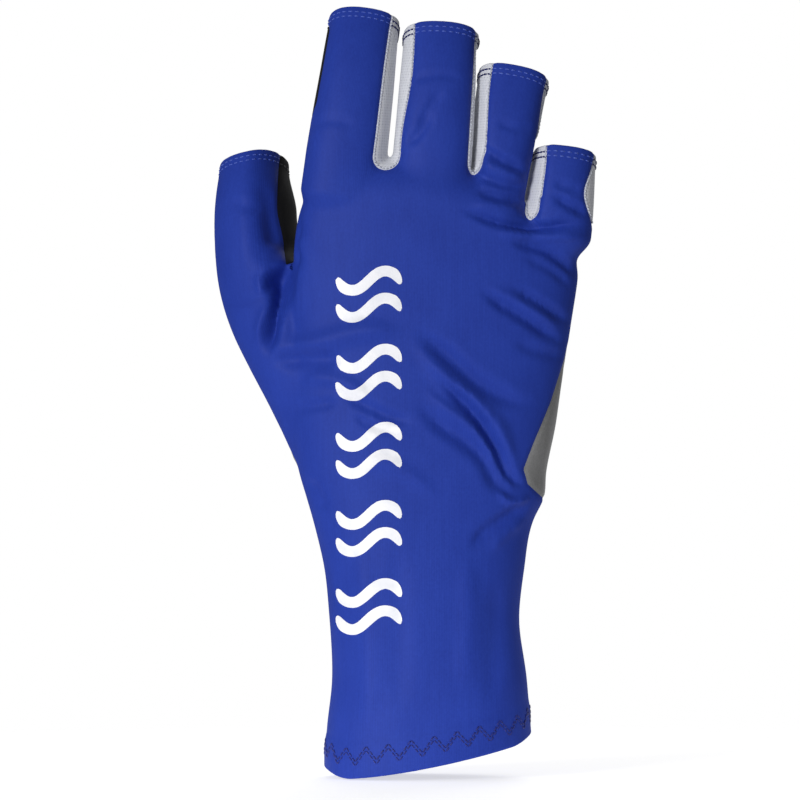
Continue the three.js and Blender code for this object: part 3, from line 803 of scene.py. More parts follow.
# ------------------------------------------------------------------ meshes and pieces
def new_object(name, points, faces, material, normals=None, cloth=None, slots=None):
    """An object from points in millimetres. normals holds one direction for each corner of each face."""
    mesh = bpy.data.meshes.new(name)
    faces = [list(map(int, face)) for face in faces]
    mesh.from_pydata([tuple(q) for q in np.asarray(points) * MM], [], faces)
    if cloth is not None:
        layer = mesh.attributes.new("cloth", "FLOAT_VECTOR", "POINT")
        layer.data.foreach_set("vector", np.asarray(cloth, np.float32).ravel())
    mesh.polygons.foreach_set("use_smooth", [True] * len(faces))
    for entry in material if isinstance(material, (list, tuple)) else [material]:
        mesh.materials.append(entry)
    if slots is not None:
        mesh.polygons.foreach_set("material_index", np.asarray(slots, np.int32))
    if normals is not None:
        mesh.normals_split_custom_set([tuple(n) for n in normals])
    mesh.validate()
    made = bpy.data.objects.new(name, mesh)
    bpy.context.collection.objects.link(made)
    return made


def boundary(triangles):
    """The directed edges that only one triangle has."""
    sides = np.vstack([triangles[:, [0, 1]], triangles[:, [1, 2]], triangles[:, [2, 0]]])
    n = int(triangles.max()) + 1
    key, back = sides[:, 0] * n + sides[:, 1], sides[:, 1] * n + sides[:, 0]
    return sides[~np.isin(key, back)]


def chains(edges):
    """Directed edges joined end to end, as lists of points; a closed one ends where it started."""
    following = {}
    for a, b in edges:
        following.setdefault(int(a), []).append(int(b))
    starts = set(int(a) for a, _ in edges) - set(int(b) for _, b in edges)
    lines = []
    pending = list(starts) + [int(a) for a, _ in edges]
    for first in pending:
        while following.get(first):
            line = [first]
            while following.get(line[-1]):
                line.append(following[line[-1]].pop())
            lines.append(line)
    return lines


def panel(name, skin, mask, material, outward=0.0, inward=CLOTH):
    """A closed piece of cloth over the chosen triangles, from outward above the skin to inward below it."""
    triangles = skin.triangles[mask]
    used, tri = np.unique(triangles, return_inverse=True)
    tri = tri.reshape(-1, 3)
    points, normals = skin.points[used], skin.data["normal"][used]
    up = outward[used][:, None] if np.ndim(outward) else outward
    top, bottom = points + normals * up, points - normals * inward
    n = len(used)
    edge = boundary(tri)
    walls = np.column_stack([edge[:, 1], edge[:, 0], edge[:, 0] + n, edge[:, 1] + n])
    shade = normals if not np.ndim(outward) else vertex_normals(top, tri)
    faces = [*tri.tolist(), *(tri[:, ::-1] + n).tolist(), *walls.tolist()]
    everything = np.vstack([top, bottom])
    wall_normal = unit(np.cross(everything[walls[:, 1]] - everything[walls[:, 0]],
                                everything[walls[:, 3]] - everything[walls[:, 0]]))
    corner_normals = np.vstack([shade[tri.ravel()], -normals[tri[:, ::-1].ravel()],
                                np.repeat(wall_normal, 4, axis=0)])
    cloth = skin.data["cloth"][used] * MM
    return new_object(name, everything, faces, material, corner_normals, np.vstack([cloth, cloth]))


def tube(path, normal, radius, sides=6):
    """Points and faces of a closed round thread along a path, a little thinner at both ends."""
    path = np.asarray(path, float)
    tangent = unit(np.gradient(path, axis=0))
    side = unit(np.cross(tangent, normal))
    up = np.cross(side, tangent)
    angle = np.arange(sides) / sides * 2 * math.pi
    sizes = np.full(len(path), radius)
    sizes[[0, -1]] *= 0.55
    ring = (np.cos(angle)[None, :, None] * side[:, None] + np.sin(angle)[None, :, None] * up[:, None])
    points = (path[:, None] + ring * sizes[:, None, None]).reshape(-1, 3)
    faces = []
    for k in range(len(path) - 1):
        for j in range(sides):
            a, b = k * sides + j, k * sides + (j + 1) % sides
            faces.append((a, b, b + sides, a + sides))
    faces.append(tuple(range(sides))[::-1])
    faces.append(tuple(range((len(path) - 1) * sides, len(path) * sides)))
    return points, faces


def joined(parts):
    """Several sets of points and faces as one."""
    points, faces, shift = [], [], 0
    for p, f in parts:
        points.append(p)
        faces += [tuple(i + shift for i in face) for face in f]
        shift += len(p)
    return np.vstack(points), faces


def stitch(a, b, na, nb, radius, lift):
    """One stitch from a to b, whose ends go down into the cloth."""
    t = np.linspace(0, 1, 6)[:, None]
    normal = unit(na * (1 - t) + nb * t)
    height = lift - (lift + 0.22) * np.abs(2 * t - 1) ** 4
    return tube(a * (1 - t) + b * t + normal * height, normal, radius)


def row_of_stitches(line, normals, pitch, share=0.68, radius=0.2, lift=0.1):
    """Stitches end to end along a line on the cloth."""
    length = length_along(line)
    count = max(1, int(round(length[-1] / pitch)))
    step = length[-1] / count

    def at(columns, place):
        return np.array([np.interp(place, length, columns[:, c]) for c in range(3)])

    parts = []
    for k in range(count):
        ends = (k + 0.5 - share / 2) * step, (k + 0.5 + share / 2) * step
        parts.append(stitch(*(at(line, end) for end in ends), *(unit(at(normals, end)) for end in ends),
                            radius, lift))
    return parts


def level_lines(skin, name, level, mask):
    """The lines on the chosen triangles where the named quantity has a value, with the cloth's normals."""
    value = skin.data[name] - level
    tri = skin.triangles[mask]
    value = np.where(np.abs(value) < 1e-9, 1e-9, value)
    sign = value[tri] > 0
    rows = sign.any(axis=1) & ~sign.all(axis=1)
    tri, sign = tri[rows], sign[rows]
    keys, places, shades, segments = {}, [], [], []

    def crossing(a, b):
        key = (min(a, b), max(a, b))
        if key not in keys:
            t = value[a] / (value[a] - value[b])
            keys[key] = len(places)
            places.append(skin.points[a] * (1 - t) + skin.points[b] * t)
            shades.append(skin.data["normal"][a] * (1 - t) + skin.data["normal"][b] * t)
        return keys[key]

    for corners, above in zip(tri.tolist(), sign.tolist()):
        out, back = None, None
        for k in range(3):
            a, b = k, (k + 1) % 3
            if above[a] and not above[b]:
                out = crossing(corners[a], corners[b])
            if above[b] and not above[a]:
                back = crossing(corners[a], corners[b])
        segments.append((out, back))
    if not segments:
        return []
    places, shades = np.array(places), unit(np.array(shades))
    return [(places[line], shades[line]) for line in chains(np.array(segments)) if len(line) > 2]


# ------------------------------------------------------------------ hems
HEM_DEPTH, CUFF_HEM_DEPTH = 6.0, 11.0
LIP, HEM_THICKNESS = 0.8, 1.8        # how far the folded edge stands beyond the cloth, and how thick it is
LIP_STEPS = 8


def end_direction(name):
    """Which way a digit's hem faces."""
    if name == "thumb":
        return thumb_at(np.array([THUMB_TIP]))[1][0]
    finger = FINGERS[name]
    bend = math.radians(finger["curl"])
    _, along, _, _ = finger_frame(finger)
    return along * math.cos(bend) + np.array([0, 1, 0]) * math.sin(bend)


def hem_profile(depth):
    """The hem's section as (inward, beyond the edge), and the way its surface faces as the same pair."""
    lip = [(HEM_THICKNESS / 2 * (1 - math.cos(a)), LIP * math.sin(a), -math.cos(a), math.sin(a))
           for a in np.linspace(0, math.pi, LIP_STEPS + 1)]
    inner = [(HEM_THICKNESS, -depth + 0.3, 1, 0), (HEM_THICKNESS - 0.3, -depth, 0.5, -0.8),
             (CLOTH + 0.15, -depth, 0, -1), (CLOTH + 0.1, -0.05, -1, 0)]
    return lip + inner


def make_hem(name, line, normals, beyond, depth, materials, kinds):
    """A ring that rolls the cloth's edge over and carries it back inside. kinds says which cloth is where."""
    profile = hem_profile(depth)
    n, m = len(line), len(profile)
    inward = -unit(normals - beyond * (normals @ beyond)[:, None])
    points = np.vstack([line + inward * w + beyond * t for w, t, _, _ in profile])
    faces, corner_normals, slots = [], [], []

    def face_normal(k, i):
        return inward[i] * profile[k][2] + beyond * profile[k][3]

    for k in range(m):
        for i in range(n):
            j, k2 = (i + 1) % n, (k + 1) % m
            faces.append((k * n + i, k * n + j, k2 * n + j, k2 * n + i))
            if k < LIP_STEPS:
                corner_normals += [face_normal(*corner) for corner in ((k, i), (k, j), (k2, j), (k2, i))]
            else:
                corner_normals += [face_normal(k, i)] * 4
            slots.append(kinds[i])
    a, b, d = points[faces[0][0]], points[faces[0][1]], points[faces[0][3]]
    if np.cross(b - a, d - a) @ face_normal(0, 0) < 0:
        faces = [face[::-1] for face in faces]
        corner_normals = [corner_normals[4 * f + c] for f in range(len(faces)) for c in (3, 2, 1, 0)]
    along = np.linspace(0, 1, n, endpoint=False) * np.linalg.norm(np.diff(line, axis=0), axis=1).sum()
    cloth = np.vstack([np.column_stack([along, line[:, 2] + t, line[:, 1]]) for _, t, _, _ in profile]) * MM
    return new_object(name, points, faces, materials, corner_normals, cloth, slots)


# ------------------------------------------------------------------ materials
def linear(r, g, b):
    """A colour given as it looks on a screen, 0 to 255, as the shader takes it."""
    def one(v):
        v /= 255
        return v / 12.92 if v <= 0.04045 else ((v + 0.055) / 1.055) ** 2.4
    return (one(r), one(g), one(b), 1.0)


class Nodes:
    """A material's nodes, with short ways to add them."""

    def __init__(self, name, roughness=0.6, specular=0.4, sheen=0.0, sheen_tint=(1, 1, 1, 1),
                 sheen_roughness=0.4):
        self.material = bpy.data.materials.new(name)
        self.material.use_nodes = True
        self.tree = self.material.node_tree
        self.shader = self.tree.nodes["Principled BSDF"]
        self.set("Roughness", roughness)
        self.set("Specular IOR Level", specular)
        self.set("Sheen Weight", sheen)
        self.set("Sheen Tint", sheen_tint)
        self.set("Sheen Roughness", sheen_roughness)
        cloth = self.add("ShaderNodeAttribute")
        cloth.attribute_name = "cloth"
        self.cloth = cloth.outputs["Vector"]

    def set(self, socket, value):
        self.shader.inputs[socket].default_value = value

    def add(self, kind, **settings):
        node = self.tree.nodes.new(kind)
        for key, value in settings.items():
            setattr(node, key, value)
        return node

    def link(self, a, b):
        self.tree.links.new(a, b)

    def math(self, operation, a, b=None, c=None):
        node = self.add("ShaderNodeMath", operation=operation)
        for socket, value in zip(node.inputs, (a, b, c)):
            if isinstance(value, (int, float)):
                socket.default_value = value
            elif value is not None:
                self.link(value, socket)
        return node.outputs[0]

    def stretched(self, across, along, deep=None):
        """The cloth's coordinates, scaled."""
        node = self.add("ShaderNodeVectorMath", operation="MULTIPLY")
        self.link(self.cloth, node.inputs[0])
        node.inputs[1].default_value = (across, along, across if deep is None else deep)
        return node.outputs[0]

    def noise(self, vector, scale=1.0, detail=2.0, roughness=0.5):
        node = self.add("ShaderNodeTexNoise")
        self.link(vector, node.inputs["Vector"])
        for key, value in (("Scale", scale), ("Detail", detail), ("Roughness", roughness)):
            node.inputs[key].default_value = value
        return node.outputs["Fac"]

    def dots(self, vector, scale=1.0, randomness=0.0):
        node = self.add("ShaderNodeTexVoronoi")
        self.link(vector, node.inputs["Vector"])
        node.inputs["Scale"].default_value = scale
        node.inputs["Randomness"].default_value = randomness
        return node.outputs["Distance"]

    def ramp(self, value, stops):
        node = self.add("ShaderNodeValToRGB")
        self.link(value, node.inputs["Fac"])
        while len(node.color_ramp.elements) < len(stops):
            node.color_ramp.elements.new(0.5)
        for element, (place, colour) in zip(node.color_ramp.elements, stops):
            element.position, element.color = place, colour
        return node.outputs["Color"]

    def colour(self, value, stops):
        """Colours the surface by a value, through a ramp."""
        self.link(self.ramp(value, stops), self.shader.inputs["Base Color"])

    def bump(self, height, strength, distance):
        node = self.add("ShaderNodeBump")
        node.inputs["Strength"].default_value = strength
        node.inputs["Distance"].default_value = distance
        self.link(height, node.inputs["Height"])
        self.link(node.outputs["Normal"], self.shader.inputs["Normal"])

    def axis(self, index):
        node = self.add("ShaderNodeSeparateXYZ")
        self.link(self.cloth, node.inputs[0])
        return node.outputs[index]


def ribs(nodes, spacing):
    """Fine upright ribs of a knit, from nought to one."""
    wave = nodes.math("SINE", nodes.math("MULTIPLY", nodes.axis(0), 2 * math.pi / spacing))
    return nodes.math("MULTIPLY_ADD", wave, 0.5, 0.5)


RIB_SPACING = 0.00052    # of the jersey's knit, in metres


def satin_jersey(name, dark, light):
    """Stretch cloth with a satin face: fine upright ribs, soft streaks and a bluish sheen."""
    nodes = Nodes(name, roughness=0.58, specular=0.12, sheen=0.08, sheen_tint=linear(70, 100, 240),
                  sheen_roughness=0.4)
    streaks = nodes.noise(nodes.stretched(900, 60), detail=3)
    blotches = nodes.noise(nodes.stretched(70, 70), detail=2)
    rib = ribs(nodes, RIB_SPACING)
    loops = nodes.noise(nodes.stretched(2600, 1500), detail=1)
    melange = nodes.noise(nodes.stretched(1500, 1100), detail=3, roughness=0.7)
    mixed = nodes.math("MULTIPLY_ADD", rib, 0.14, nodes.math("MULTIPLY", streaks, 0.2))
    uneven = nodes.math("MULTIPLY_ADD", blotches, 0.26, nodes.math("MULTIPLY", melange, 0.4))
    nodes.colour(nodes.math("ADD", mixed, uneven), [(0.22, dark), (0.78, light)])
    relief = nodes.math("ADD", nodes.math("MULTIPLY", rib, 0.6), nodes.math("MULTIPLY", loops, 0.6))
    nodes.bump(relief, 0.35, 0.00006)
    return nodes.material


def light_mesh(name):
    """Pale stretch mesh: small open dots in rows."""
    nodes = Nodes(name, roughness=0.7, specular=0.3, sheen=0.15)
    dots = nodes.dots(nodes.stretched(1150, 1150))
    fuzz = nodes.noise(nodes.stretched(900, 900), detail=2)
    value = nodes.math("MULTIPLY_ADD", fuzz, 0.25, dots)
    hole, cloth, nap = linear(158, 161, 172), linear(203, 205, 213), linear(219, 221, 227)
    nodes.colour(value, [(0.18, hole), (0.42, cloth), (0.9, nap)])
    nodes.bump(value, 0.5, 0.00012)
    return nodes.material


def microfibre(name, dark, light, specular=0.25, sheen=0.3):
    """Synthetic suede: a fine uneven nap, with broad lighter and darker strokes."""
    nodes = Nodes(name, roughness=0.82, specular=specular, sheen=sheen, sheen_roughness=0.5)
    nap = nodes.noise(nodes.stretched(1540, 1540), detail=3, roughness=0.65)
    strokes = nodes.noise(nodes.stretched(110, 60), detail=2)
    mixed = nodes.math("MULTIPLY_ADD", nap, 0.55, nodes.math("MULTIPLY", strokes, 0.45))
    nodes.colour(mixed, [(0.3, dark), (0.7, light)])
    nodes.bump(nap, 0.5, 0.0001)
    return nodes.material


def grip_leather(name, dark, light):
    """Grippy synthetic leather, stamped with small raised dots."""
    nodes = Nodes(name, roughness=0.6, specular=0.4)
    dots = nodes.dots(nodes.stretched(620, 620))
    grain = nodes.noise(nodes.stretched(1500, 1500), detail=3)
    value = nodes.math("MULTIPLY_ADD", grain, 0.3, nodes.math("SUBTRACT", 0.8, dots))
    nodes.colour(value, [(0.25, dark), (0.75, light)])
    nodes.bump(value, 0.7, 0.00025)
    return nodes.material


def printed_film(name):
    """White printed film, thin enough for the ribs to show a little."""
    nodes = Nodes(name, roughness=0.4, specular=0.4)
    wear = nodes.noise(nodes.stretched(220, 220), detail=4)
    nodes.colour(wear, [(0.2, linear(226, 228, 236)), (0.6, linear(243, 243, 248))])
    nodes.bump(ribs(nodes, RIB_SPACING), 0.2, 0.00003)
    return nodes.material


def thread(name, dark, light):
    """Twisted sewing thread."""
    nodes = Nodes(name, roughness=0.55, specular=0.35, sheen=0.2)
    where = nodes.add("ShaderNodeTexCoord").outputs["Object"]
    scaled = nodes.add("ShaderNodeVectorMath", operation="SCALE")
    nodes.link(where, scaled.inputs[0])
    scaled.inputs["Scale"].default_value = 2600
    twist = nodes.noise(scaled.outputs[0], detail=1)
    nodes.colour(twist, [(0.35, dark), (0.65, light)])
    nodes.bump(twist, 0.5, 0.00008)
    return nodes.material


def label_cloth(name):
    """A woven satin label."""
    nodes = Nodes(name, roughness=0.5, specular=0.35, sheen=0.2)
    weave = nodes.noise(nodes.stretched(3000, 400), detail=1)
    nodes.colour(weave, [(0.3, linear(205, 206, 210)), (0.7, linear(236, 236, 238))])
    nodes.bump(weave, 0.3, 0.00005)
    return nodes.material


BLUE = satin_jersey("blue_satin_jersey", linear(28, 49, 138), linear(41, 67, 168))
MESH = light_mesh("pale_mesh")
PALM = microfibre("grey_microfibre", linear(101, 102, 102), linear(135, 135, 136))
BLACK = microfibre("black_microfibre", linear(9, 9, 12), linear(20, 20, 25), specular=0.18, sheen=0.05)
GRIP = grip_leather("grip_leather", linear(30, 31, 34), linear(62, 63, 67))
PRINT = printed_film("white_print")
NAVY_THREAD = thread("navy_thread", linear(14, 20, 74), linear(26, 34, 102))
CUFF_THREAD = thread("dark_blue_thread", linear(15, 24, 98), linear(26, 38, 130))
PALE_THREAD = thread("pale_blue_thread", linear(52, 76, 172), linear(88, 112, 204))
PALE_EDGE = thread("pale_edge_thread", linear(176, 180, 192), linear(214, 217, 226))
GREY_THREAD = thread("grey_thread", linear(48, 48, 52), linear(78, 78, 84))
LABEL = label_cloth("woven_label")


# ------------------------------------------------------------------ sewing it together
HEM_SWELL = 0.22                     # how far the doubled edge stands out
HEM_BAND, CUFF_BAND = 3.3, 9.6       # how deep it is on a digit and on the cuff
STITCH_ROW, STITCH_ROW_GAP = -2.7, 1.4    # from a digit's end to its stitches, and on to the second row
SEAM_DIP, SEAM_HALF_WIDTH = 0.34, 0.6


CROTCH, CROTCH_REACH = np.array([-42.5, 2.0, 151.0]), 6.0   # where the thumb leaves the hand
VALLEY = [(-44.2, 154.0), (-47.0, 145.0)]   # the deep fold beside it, (x, z)
VALLEY_DEPTH, VALLEY_WIDTH = 4.6, 3.2


def smooth_crotch(skin):
    """Evens out the web between the thumb and the hand, sinks the deep fold that runs down from it, and
    evens out the whole skin a little along its normals, so that no point slides along the cloth."""
    edges = edges_of(skin.triangles)
    share = np.exp(-np.sum(((skin.points - CROTCH) / CROTCH_REACH) ** 2, axis=1))[:, None]
    for _ in range(20):
        skin.points += (relax(skin.points, edges, 0.8) - skin.points) * share
    x, y, z = skin.points.T
    low, high = VALLEY[-1][1], VALLEY[0][1]
    middle = np.interp(z, [place[1] for place in VALLEY[::-1]], [place[0] for place in VALLEY[::-1]])
    depth = VALLEY_DEPTH * smoothstep(low - 6, low + 4, z) * smoothstep(high + 4, high - 5, z)
    front = smoothstep(0.15, -0.4, vertex_normals(skin.points, skin.triangles)[:, 1]) * smoothstep(9, 3, y)
    y = y + depth * front * np.exp(-((x - middle) / VALLEY_WIDTH) ** 2)
    skin.points = np.column_stack([x, y, z])
    normals = vertex_normals(skin.points, skin.triangles)
    move = relax(skin.points, edges, 0.7) - skin.points
    skin.points += normals * np.sum(move * normals, axis=1, keepdims=True)


def crease(skin):
    """Creases, rumples and the doubled hems, all as heights above the smooth skin."""
    p, data = skin.points, skin.data
    normals = vertex_normals(p, skin.triangles)
    x, y, z = p.T
    beside_thumb = 6.0 * smoothstep(-36, -46, x) * (z > 120)
    back = smoothstep(5.5, -3.0, y - beside_thumb) * smoothstep(0.1, -0.5, normals[:, 1])
    palm = smoothstep(-2.0, 6.0, y) * smoothstep(-0.25, 0.35, normals[:, 1])
    height = fold_height(x, z, BACK_FOLDS) * back + fold_height(x, z, PALM_FOLDS) * palm + rumple(p)
    calm = 0.25 + 0.75 * smoothstep(-1.0, -9.0, data["trim"])
    height = height * calm * smoothstep(0.75, 0.3, np.abs(normals[:, 2]))
    band = smoothstep(-HEM_BAND - 0.9, -HEM_BAND + 0.3, data["end"])
    cuff_band = smoothstep(-CUFF_BAND - 1.2, -CUFF_BAND + 0.4, data["cuff"])
    height += HEM_SWELL * np.maximum(band, cuff_band)
    height -= 0.22 * np.exp(-((data["end"] - STITCH_ROW) / 0.7) ** 2)
    skin.points = p + normals * height[:, None]
    smooth_crotch(skin)


def sew(skin):
    """Cuts the skin along its edges and seams, and pinches it in along each seam."""
    for name in ("trim", "digit", "palm", "light", "print", "heel_pad", "grip_strip",
                 "index_patch", "middle_patch", "thumb_patch"):
        skin.cut(name)
    skin.data["normal"] = unit(skin.data["normal"])
    dip = np.maximum(*(np.exp(-(skin.data[seam] / SEAM_HALF_WIDTH) ** 2) for seam in ("palm", "light")))
    skin.points = skin.points - skin.data["normal"] * (SEAM_DIP * dip)[:, None]


def attach(piece, place, slot_name, *nodes):
    """Places a piece by what it is sewn to (a body, the wrist, or the root of a digit): it is tied to its
    body when that place is one of the bodies, and otherwise its placement is only baked into its mesh.
    """
    if place in BODIES:
        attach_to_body(piece, place)
    elif place == "wrist":
        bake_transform(piece)
    else:
        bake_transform(piece)
    if nodes:
        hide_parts(*nodes)
    return piece


BODIES = set(frame["bodies"])


def build_skin():
    skin = Skin(*make_skin())
    describe(skin)
    crease(skin)
    skin.data["normal"] = vertex_normals(skin.points, skin.triangles)
    sew(skin)
    return skin


skin = build_skin()
kept = ~skin.side("trim")
owner = np.rint(skin.data["owner"][skin.triangles].mean(axis=1)).astype(int)
on_digit = kept & skin.side("digit")
on_hand = kept & ~skin.side("digit")
light = kept & skin.side("light")
leather = kept & skin.side("palm") & ~light
blue = kept & ~light & ~leather
pieces_of = {"blue": blue, "light": light, "leather": leather}
# each cloth has normals of its own, so its seams stay crisp and a cut between two pieces of it doesn't show
shading = {kind: vertex_normals(skin.points, skin.triangles[mask]) for kind, mask in pieces_of.items()}
digit_of = {name: on_digit & (owner == k) for k, name in enumerate(DIGITS)}


def cloth_panel(name, kind, mask, material, place, slot_name, *nodes):
    """One panel of one kind of cloth, tied to its body where the place it is sewn to is one of the bodies."""
    skin.data["normal"] = shading[kind]
    made = panel(name, skin, mask & pieces_of[kind], material)
    return attach(made, place, slot_name, *nodes)


# the back and the cuff, which are one cloth, and the palm
cloth_panel("back_and_cuff_cloth", "blue", on_hand, BLUE, "wrist", "back_cloth",
            "back_panel", "wrist_band", "cuff_back", "cuff_palm")
cloth_panel("palm_leather_panel", "leather", on_hand, PALM, "wrist", "palm_leather", "palm_panel")

# the pale cloth between the fingers
webs = on_hand & light
x_of = skin.points[skin.triangles].mean(axis=1)[:, 0]
for name, low, high in (("index_middle", -60, 0), ("middle_ring", 0, 24), ("ring_little", 24, 46)):
    mine = webs & (x_of > low) & (x_of <= high)
    cloth_panel("web_" + name, "light", mine, MESH, "hand", "fourchette_cloth", "fourchette_web_" + name)
u_of = skin.data["across"][skin.triangles].mean(axis=1)

# the digits
DIGIT_LIGHT = {
    "index": [("index_side_strip", 1, ["index_fourchette"])],
    "middle": [("middle_side_strip_thumb", -1, ["middle_fourchette_thumb_side"]),
               ("middle_side_strip_little", 1, ["middle_fourchette_little_side"])],
    "ring": [("ring_side_strip_thumb", -1, ["ring_fourchette_thumb_side"]),
             ("ring_side_strip_little", 1, ["ring_fourchette_little_side"])],
    "little": [("little_side_strip", -1, ["little_fourchette"]),
               ("little_outer_strip", 1, ["little_side_panel"])],
    "thumb": [],
}
BLACK_PALMS = ("thumb", "index")
for name in DIGITS:
    mine = digit_of[name]
    band = "thumb_base_band" if name == "thumb" else name + "_knuckle_band"
    cloth_panel(name + "_back_cloth", "blue", mine, BLUE, name, "back_cloth", name + "_back", band)
    cloth_panel(name + "_palm_leather", "leather", mine, BLACK if name in BLACK_PALMS else PALM, name,
                "palm_leather", name + "_palm")
    for piece, sign, nodes in DIGIT_LIGHT[name]:
        if (mine & light & (u_of * sign > 0)).any():
            cloth_panel(piece, "light", mine & (u_of * sign > 0), MESH, name, "fourchette_cloth", *nodes)

# what is laid on the cloth
everywhere = vertex_normals(skin.points, skin.triangles)
skin.data["normal"] = shading["blue"]
attach(panel("back_print", skin, on_hand & blue & skin.side("print"), PRINT, outward=0.13, inward=0.05),
       "wrist", "back_cloth")


def patch(name, field, mask, thickness, edge, place, node):
    """A grip patch on the palm, which rises to its full thickness over its edge's width."""
    skin.data["normal"] = shading["leather"]
    inside = np.clip(skin.data[field] / edge, 0, 1)
    height = 0.15 + thickness * np.sqrt(1 - (1 - inside) ** 2)
    made = panel(name, skin, mask & leather & skin.side(field), GRIP, outward=height, inward=0.1)
    return attach(made, place, "grip_leather", node)


PATCH_THICKNESS, PATCH_EDGE = 0.7, 0.9
HEEL_THICKNESS, HEEL_EDGE, HEEL_FILL = 1.9, 5.0, 0.35
patch("palm_grip_strip", "grip_strip", on_hand, PATCH_THICKNESS, PATCH_EDGE, "hand", "palm_grip_patch")
heel = patch("palm_heel_cushion", "heel_pad", on_hand, HEEL_THICKNESS, HEEL_EDGE, "hand", "palm_heel_pad")
for name in FINGER_PATCH:
    patch(name + "_grip_dots", name + "_patch", digit_of[name], PATCH_THICKNESS, PATCH_EDGE, name,
          name + "_grip_patch")


# ------------------------------------------------------------------ hems and stitches
def kind_at(k):
    """Which cloth a point of the skin is on, as a hem's material number."""
    if skin.data["light"][k] > 0:
        return 1
    return 2 if skin.data["palm"][k] > 0 else 0


def fold_hem(loop):
    """The hem along one ring of the kept skin's edge: the cuff's, or a digit's."""
    closed = loop[:-1] if loop[0] == loop[-1] else loop
    line, shade = skin.points[closed], everywhere[closed]
    kinds = np.array([kind_at(k) for k in closed])
    is_cuff = line[:, 2].mean() < 60
    if is_cuff:
        shade = vertex_normals(skin.points, skin.triangles[kept])[closed]
    table = resample(np.column_stack([line, shade, kinds]), 320 if is_cuff else 120, closed=True)
    line, shade, kinds = table[:, :3], unit(table[:, 3:6]), np.rint(table[:, 6]).astype(int)
    if is_cuff:
        down = np.array([0, 0, -1.0])
        made = make_hem("cuff_hem_fold", line, shade, down, CUFF_HEM_DEPTH, [BLUE], kinds * 0)
        attach(made, "cuff", "back_cloth", "cuff_hem")
        return
    name = DIGITS[int(np.rint(np.median(skin.data["owner"][closed])))]
    cloths = [BLUE, MESH, BLACK if name in BLACK_PALMS else PALM]
    made = make_hem(name + "_hem_fold", line, shade, end_direction(name), HEM_DEPTH, cloths, kinds)
    attach(made, name + "_stall", "back_cloth", name + "_hem")


skin.data["normal"] = everywhere
for loop in chains(boundary(skin.triangles[kept])):
    if len(loop) > 30:
        fold_hem(loop)


def stitch_rows(name, quantity, levels, mask, kind, pitch, material, place, slot_name, **look):
    """Rows of stitches on one kind of cloth, where a quantity has the given levels."""
    skin.data["normal"] = shading[kind]
    parts = []
    for level in levels:
        for line, shade in level_lines(skin, quantity, level, mask & pieces_of[kind]):
            parts += row_of_stitches(line, shade, pitch, **look)
    if parts:
        points, faces = joined(parts)
        attach(new_object(name, points, faces, material), place, slot_name)


STITCH_PITCH, STRIP_PITCH = 2.1, 1.5
STRIP_ROWS = -1.4, -2.9
for name in DIGITS:
    mine, body = digit_of[name], name + "_stall"
    stitch_rows(name + "_hem_stitches", "end", [STITCH_ROW + STITCH_ROW_GAP, STITCH_ROW], mine, "blue",
                STITCH_PITCH, PALE_THREAD, body, "back_cloth")
    stitch_rows(name + "_strip_stitches", "end", STRIP_ROWS, mine, "light",
                STRIP_PITCH, NAVY_THREAD, body, "fourchette_cloth", radius=0.3, share=0.92)
    stitch_rows(name + "_palm_stitches", "end", [STITCH_ROW], mine, "leather",
                STITCH_PITCH, GREY_THREAD, body, "palm_leather")


# The pale overlocked edge that shows as a row of small bumps along a strip's seam, on the back
BEAD_LEVEL, BEAD_PITCH = 0.28, 1.15
on_back = shading["light"][skin.triangles].mean(axis=1)[:, 1] < 0.2
for name, mask, place in [("web", on_hand, "hand"), *((name, digit_of[name], name) for name in FINGERS)]:
    stitch_rows(name + "_seam_beads", "light", [BEAD_LEVEL], mask & on_back, "light", BEAD_PITCH, PALE_EDGE,
                place, "fourchette_cloth", share=0.78, radius=0.27, lift=0.16)


def ring_at(level):
    """The cuff's ring a little above its edge, as a function of the angle round the arm."""
    lines = level_lines(skin, "cuff", -level, kept)
    line, shade = max(lines, key=lambda one: len(one[0]))
    angle = np.arctan2(line[:, 1], line[:, 0])
    order = np.argsort(angle)
    angle, line, shade = angle[order], line[order], shade[order]
    return lambda a: np.array([np.interp(a, angle, column, period=2 * math.pi)
                               for column in np.hstack([line, shade]).T])


ZIGZAG_LOW, ZIGZAG_HIGH, ZIGZAG_PERIOD, ZIGZAG_ROW_GAP = 4.4, 9.0, 7.2, 1.25


def cuff_zigzag():
    """A twin-needle zigzag round the cuff, in two rows: three short stitches up, three down."""
    skin.data["normal"] = everywhere
    rings = [ring_at(ZIGZAG_LOW + (ZIGZAG_HIGH - ZIGZAG_LOW) * k / 3) for k in range(4)]
    fine = np.linspace(-math.pi, math.pi, 721)
    length = length_along(np.array([rings[1](a)[:3] for a in fine]))
    count = int(round(length[-1] / ZIGZAG_PERIOD))
    steps = np.interp(np.arange(count * 6 + 1) / (count * 6) * length[-1], length, fine)
    climb = [0, 1, 2, 3, 2, 1]
    knots = [rings[climb[k % 6]](a) for k, a in enumerate(steps)]
    parts = []
    for one, two in zip(knots[:-1], knots[1:]):
        a, b, na, nb = one[:3], two[:3], unit(one[3:]), unit(two[3:])
        for drop in (0, ZIGZAG_ROW_GAP):
            start, stop = a * 0.94 + b * 0.06, b * 0.94 + a * 0.06
            start[2], stop[2] = start[2] - drop, stop[2] - drop
            parts.append(stitch(start, stop, na, nb, 0.24, 0.08))
    points, faces = joined(parts)
    attach(new_object("cuff_zigzag_stitches", points, faces, CUFF_THREAD), "cuff", "back_cloth")


cuff_zigzag()


# ------------------------------------------------------------------ the label inside the cuff
LABEL_WIDTH, LABEL_LENGTH, LABEL_THICKNESS = 18.0, 24.0, 0.45
LABEL_TOP = 44.0                 # the height of its sewn edge
LABEL_COLUMNS, LABEL_ROWS = 19, 25


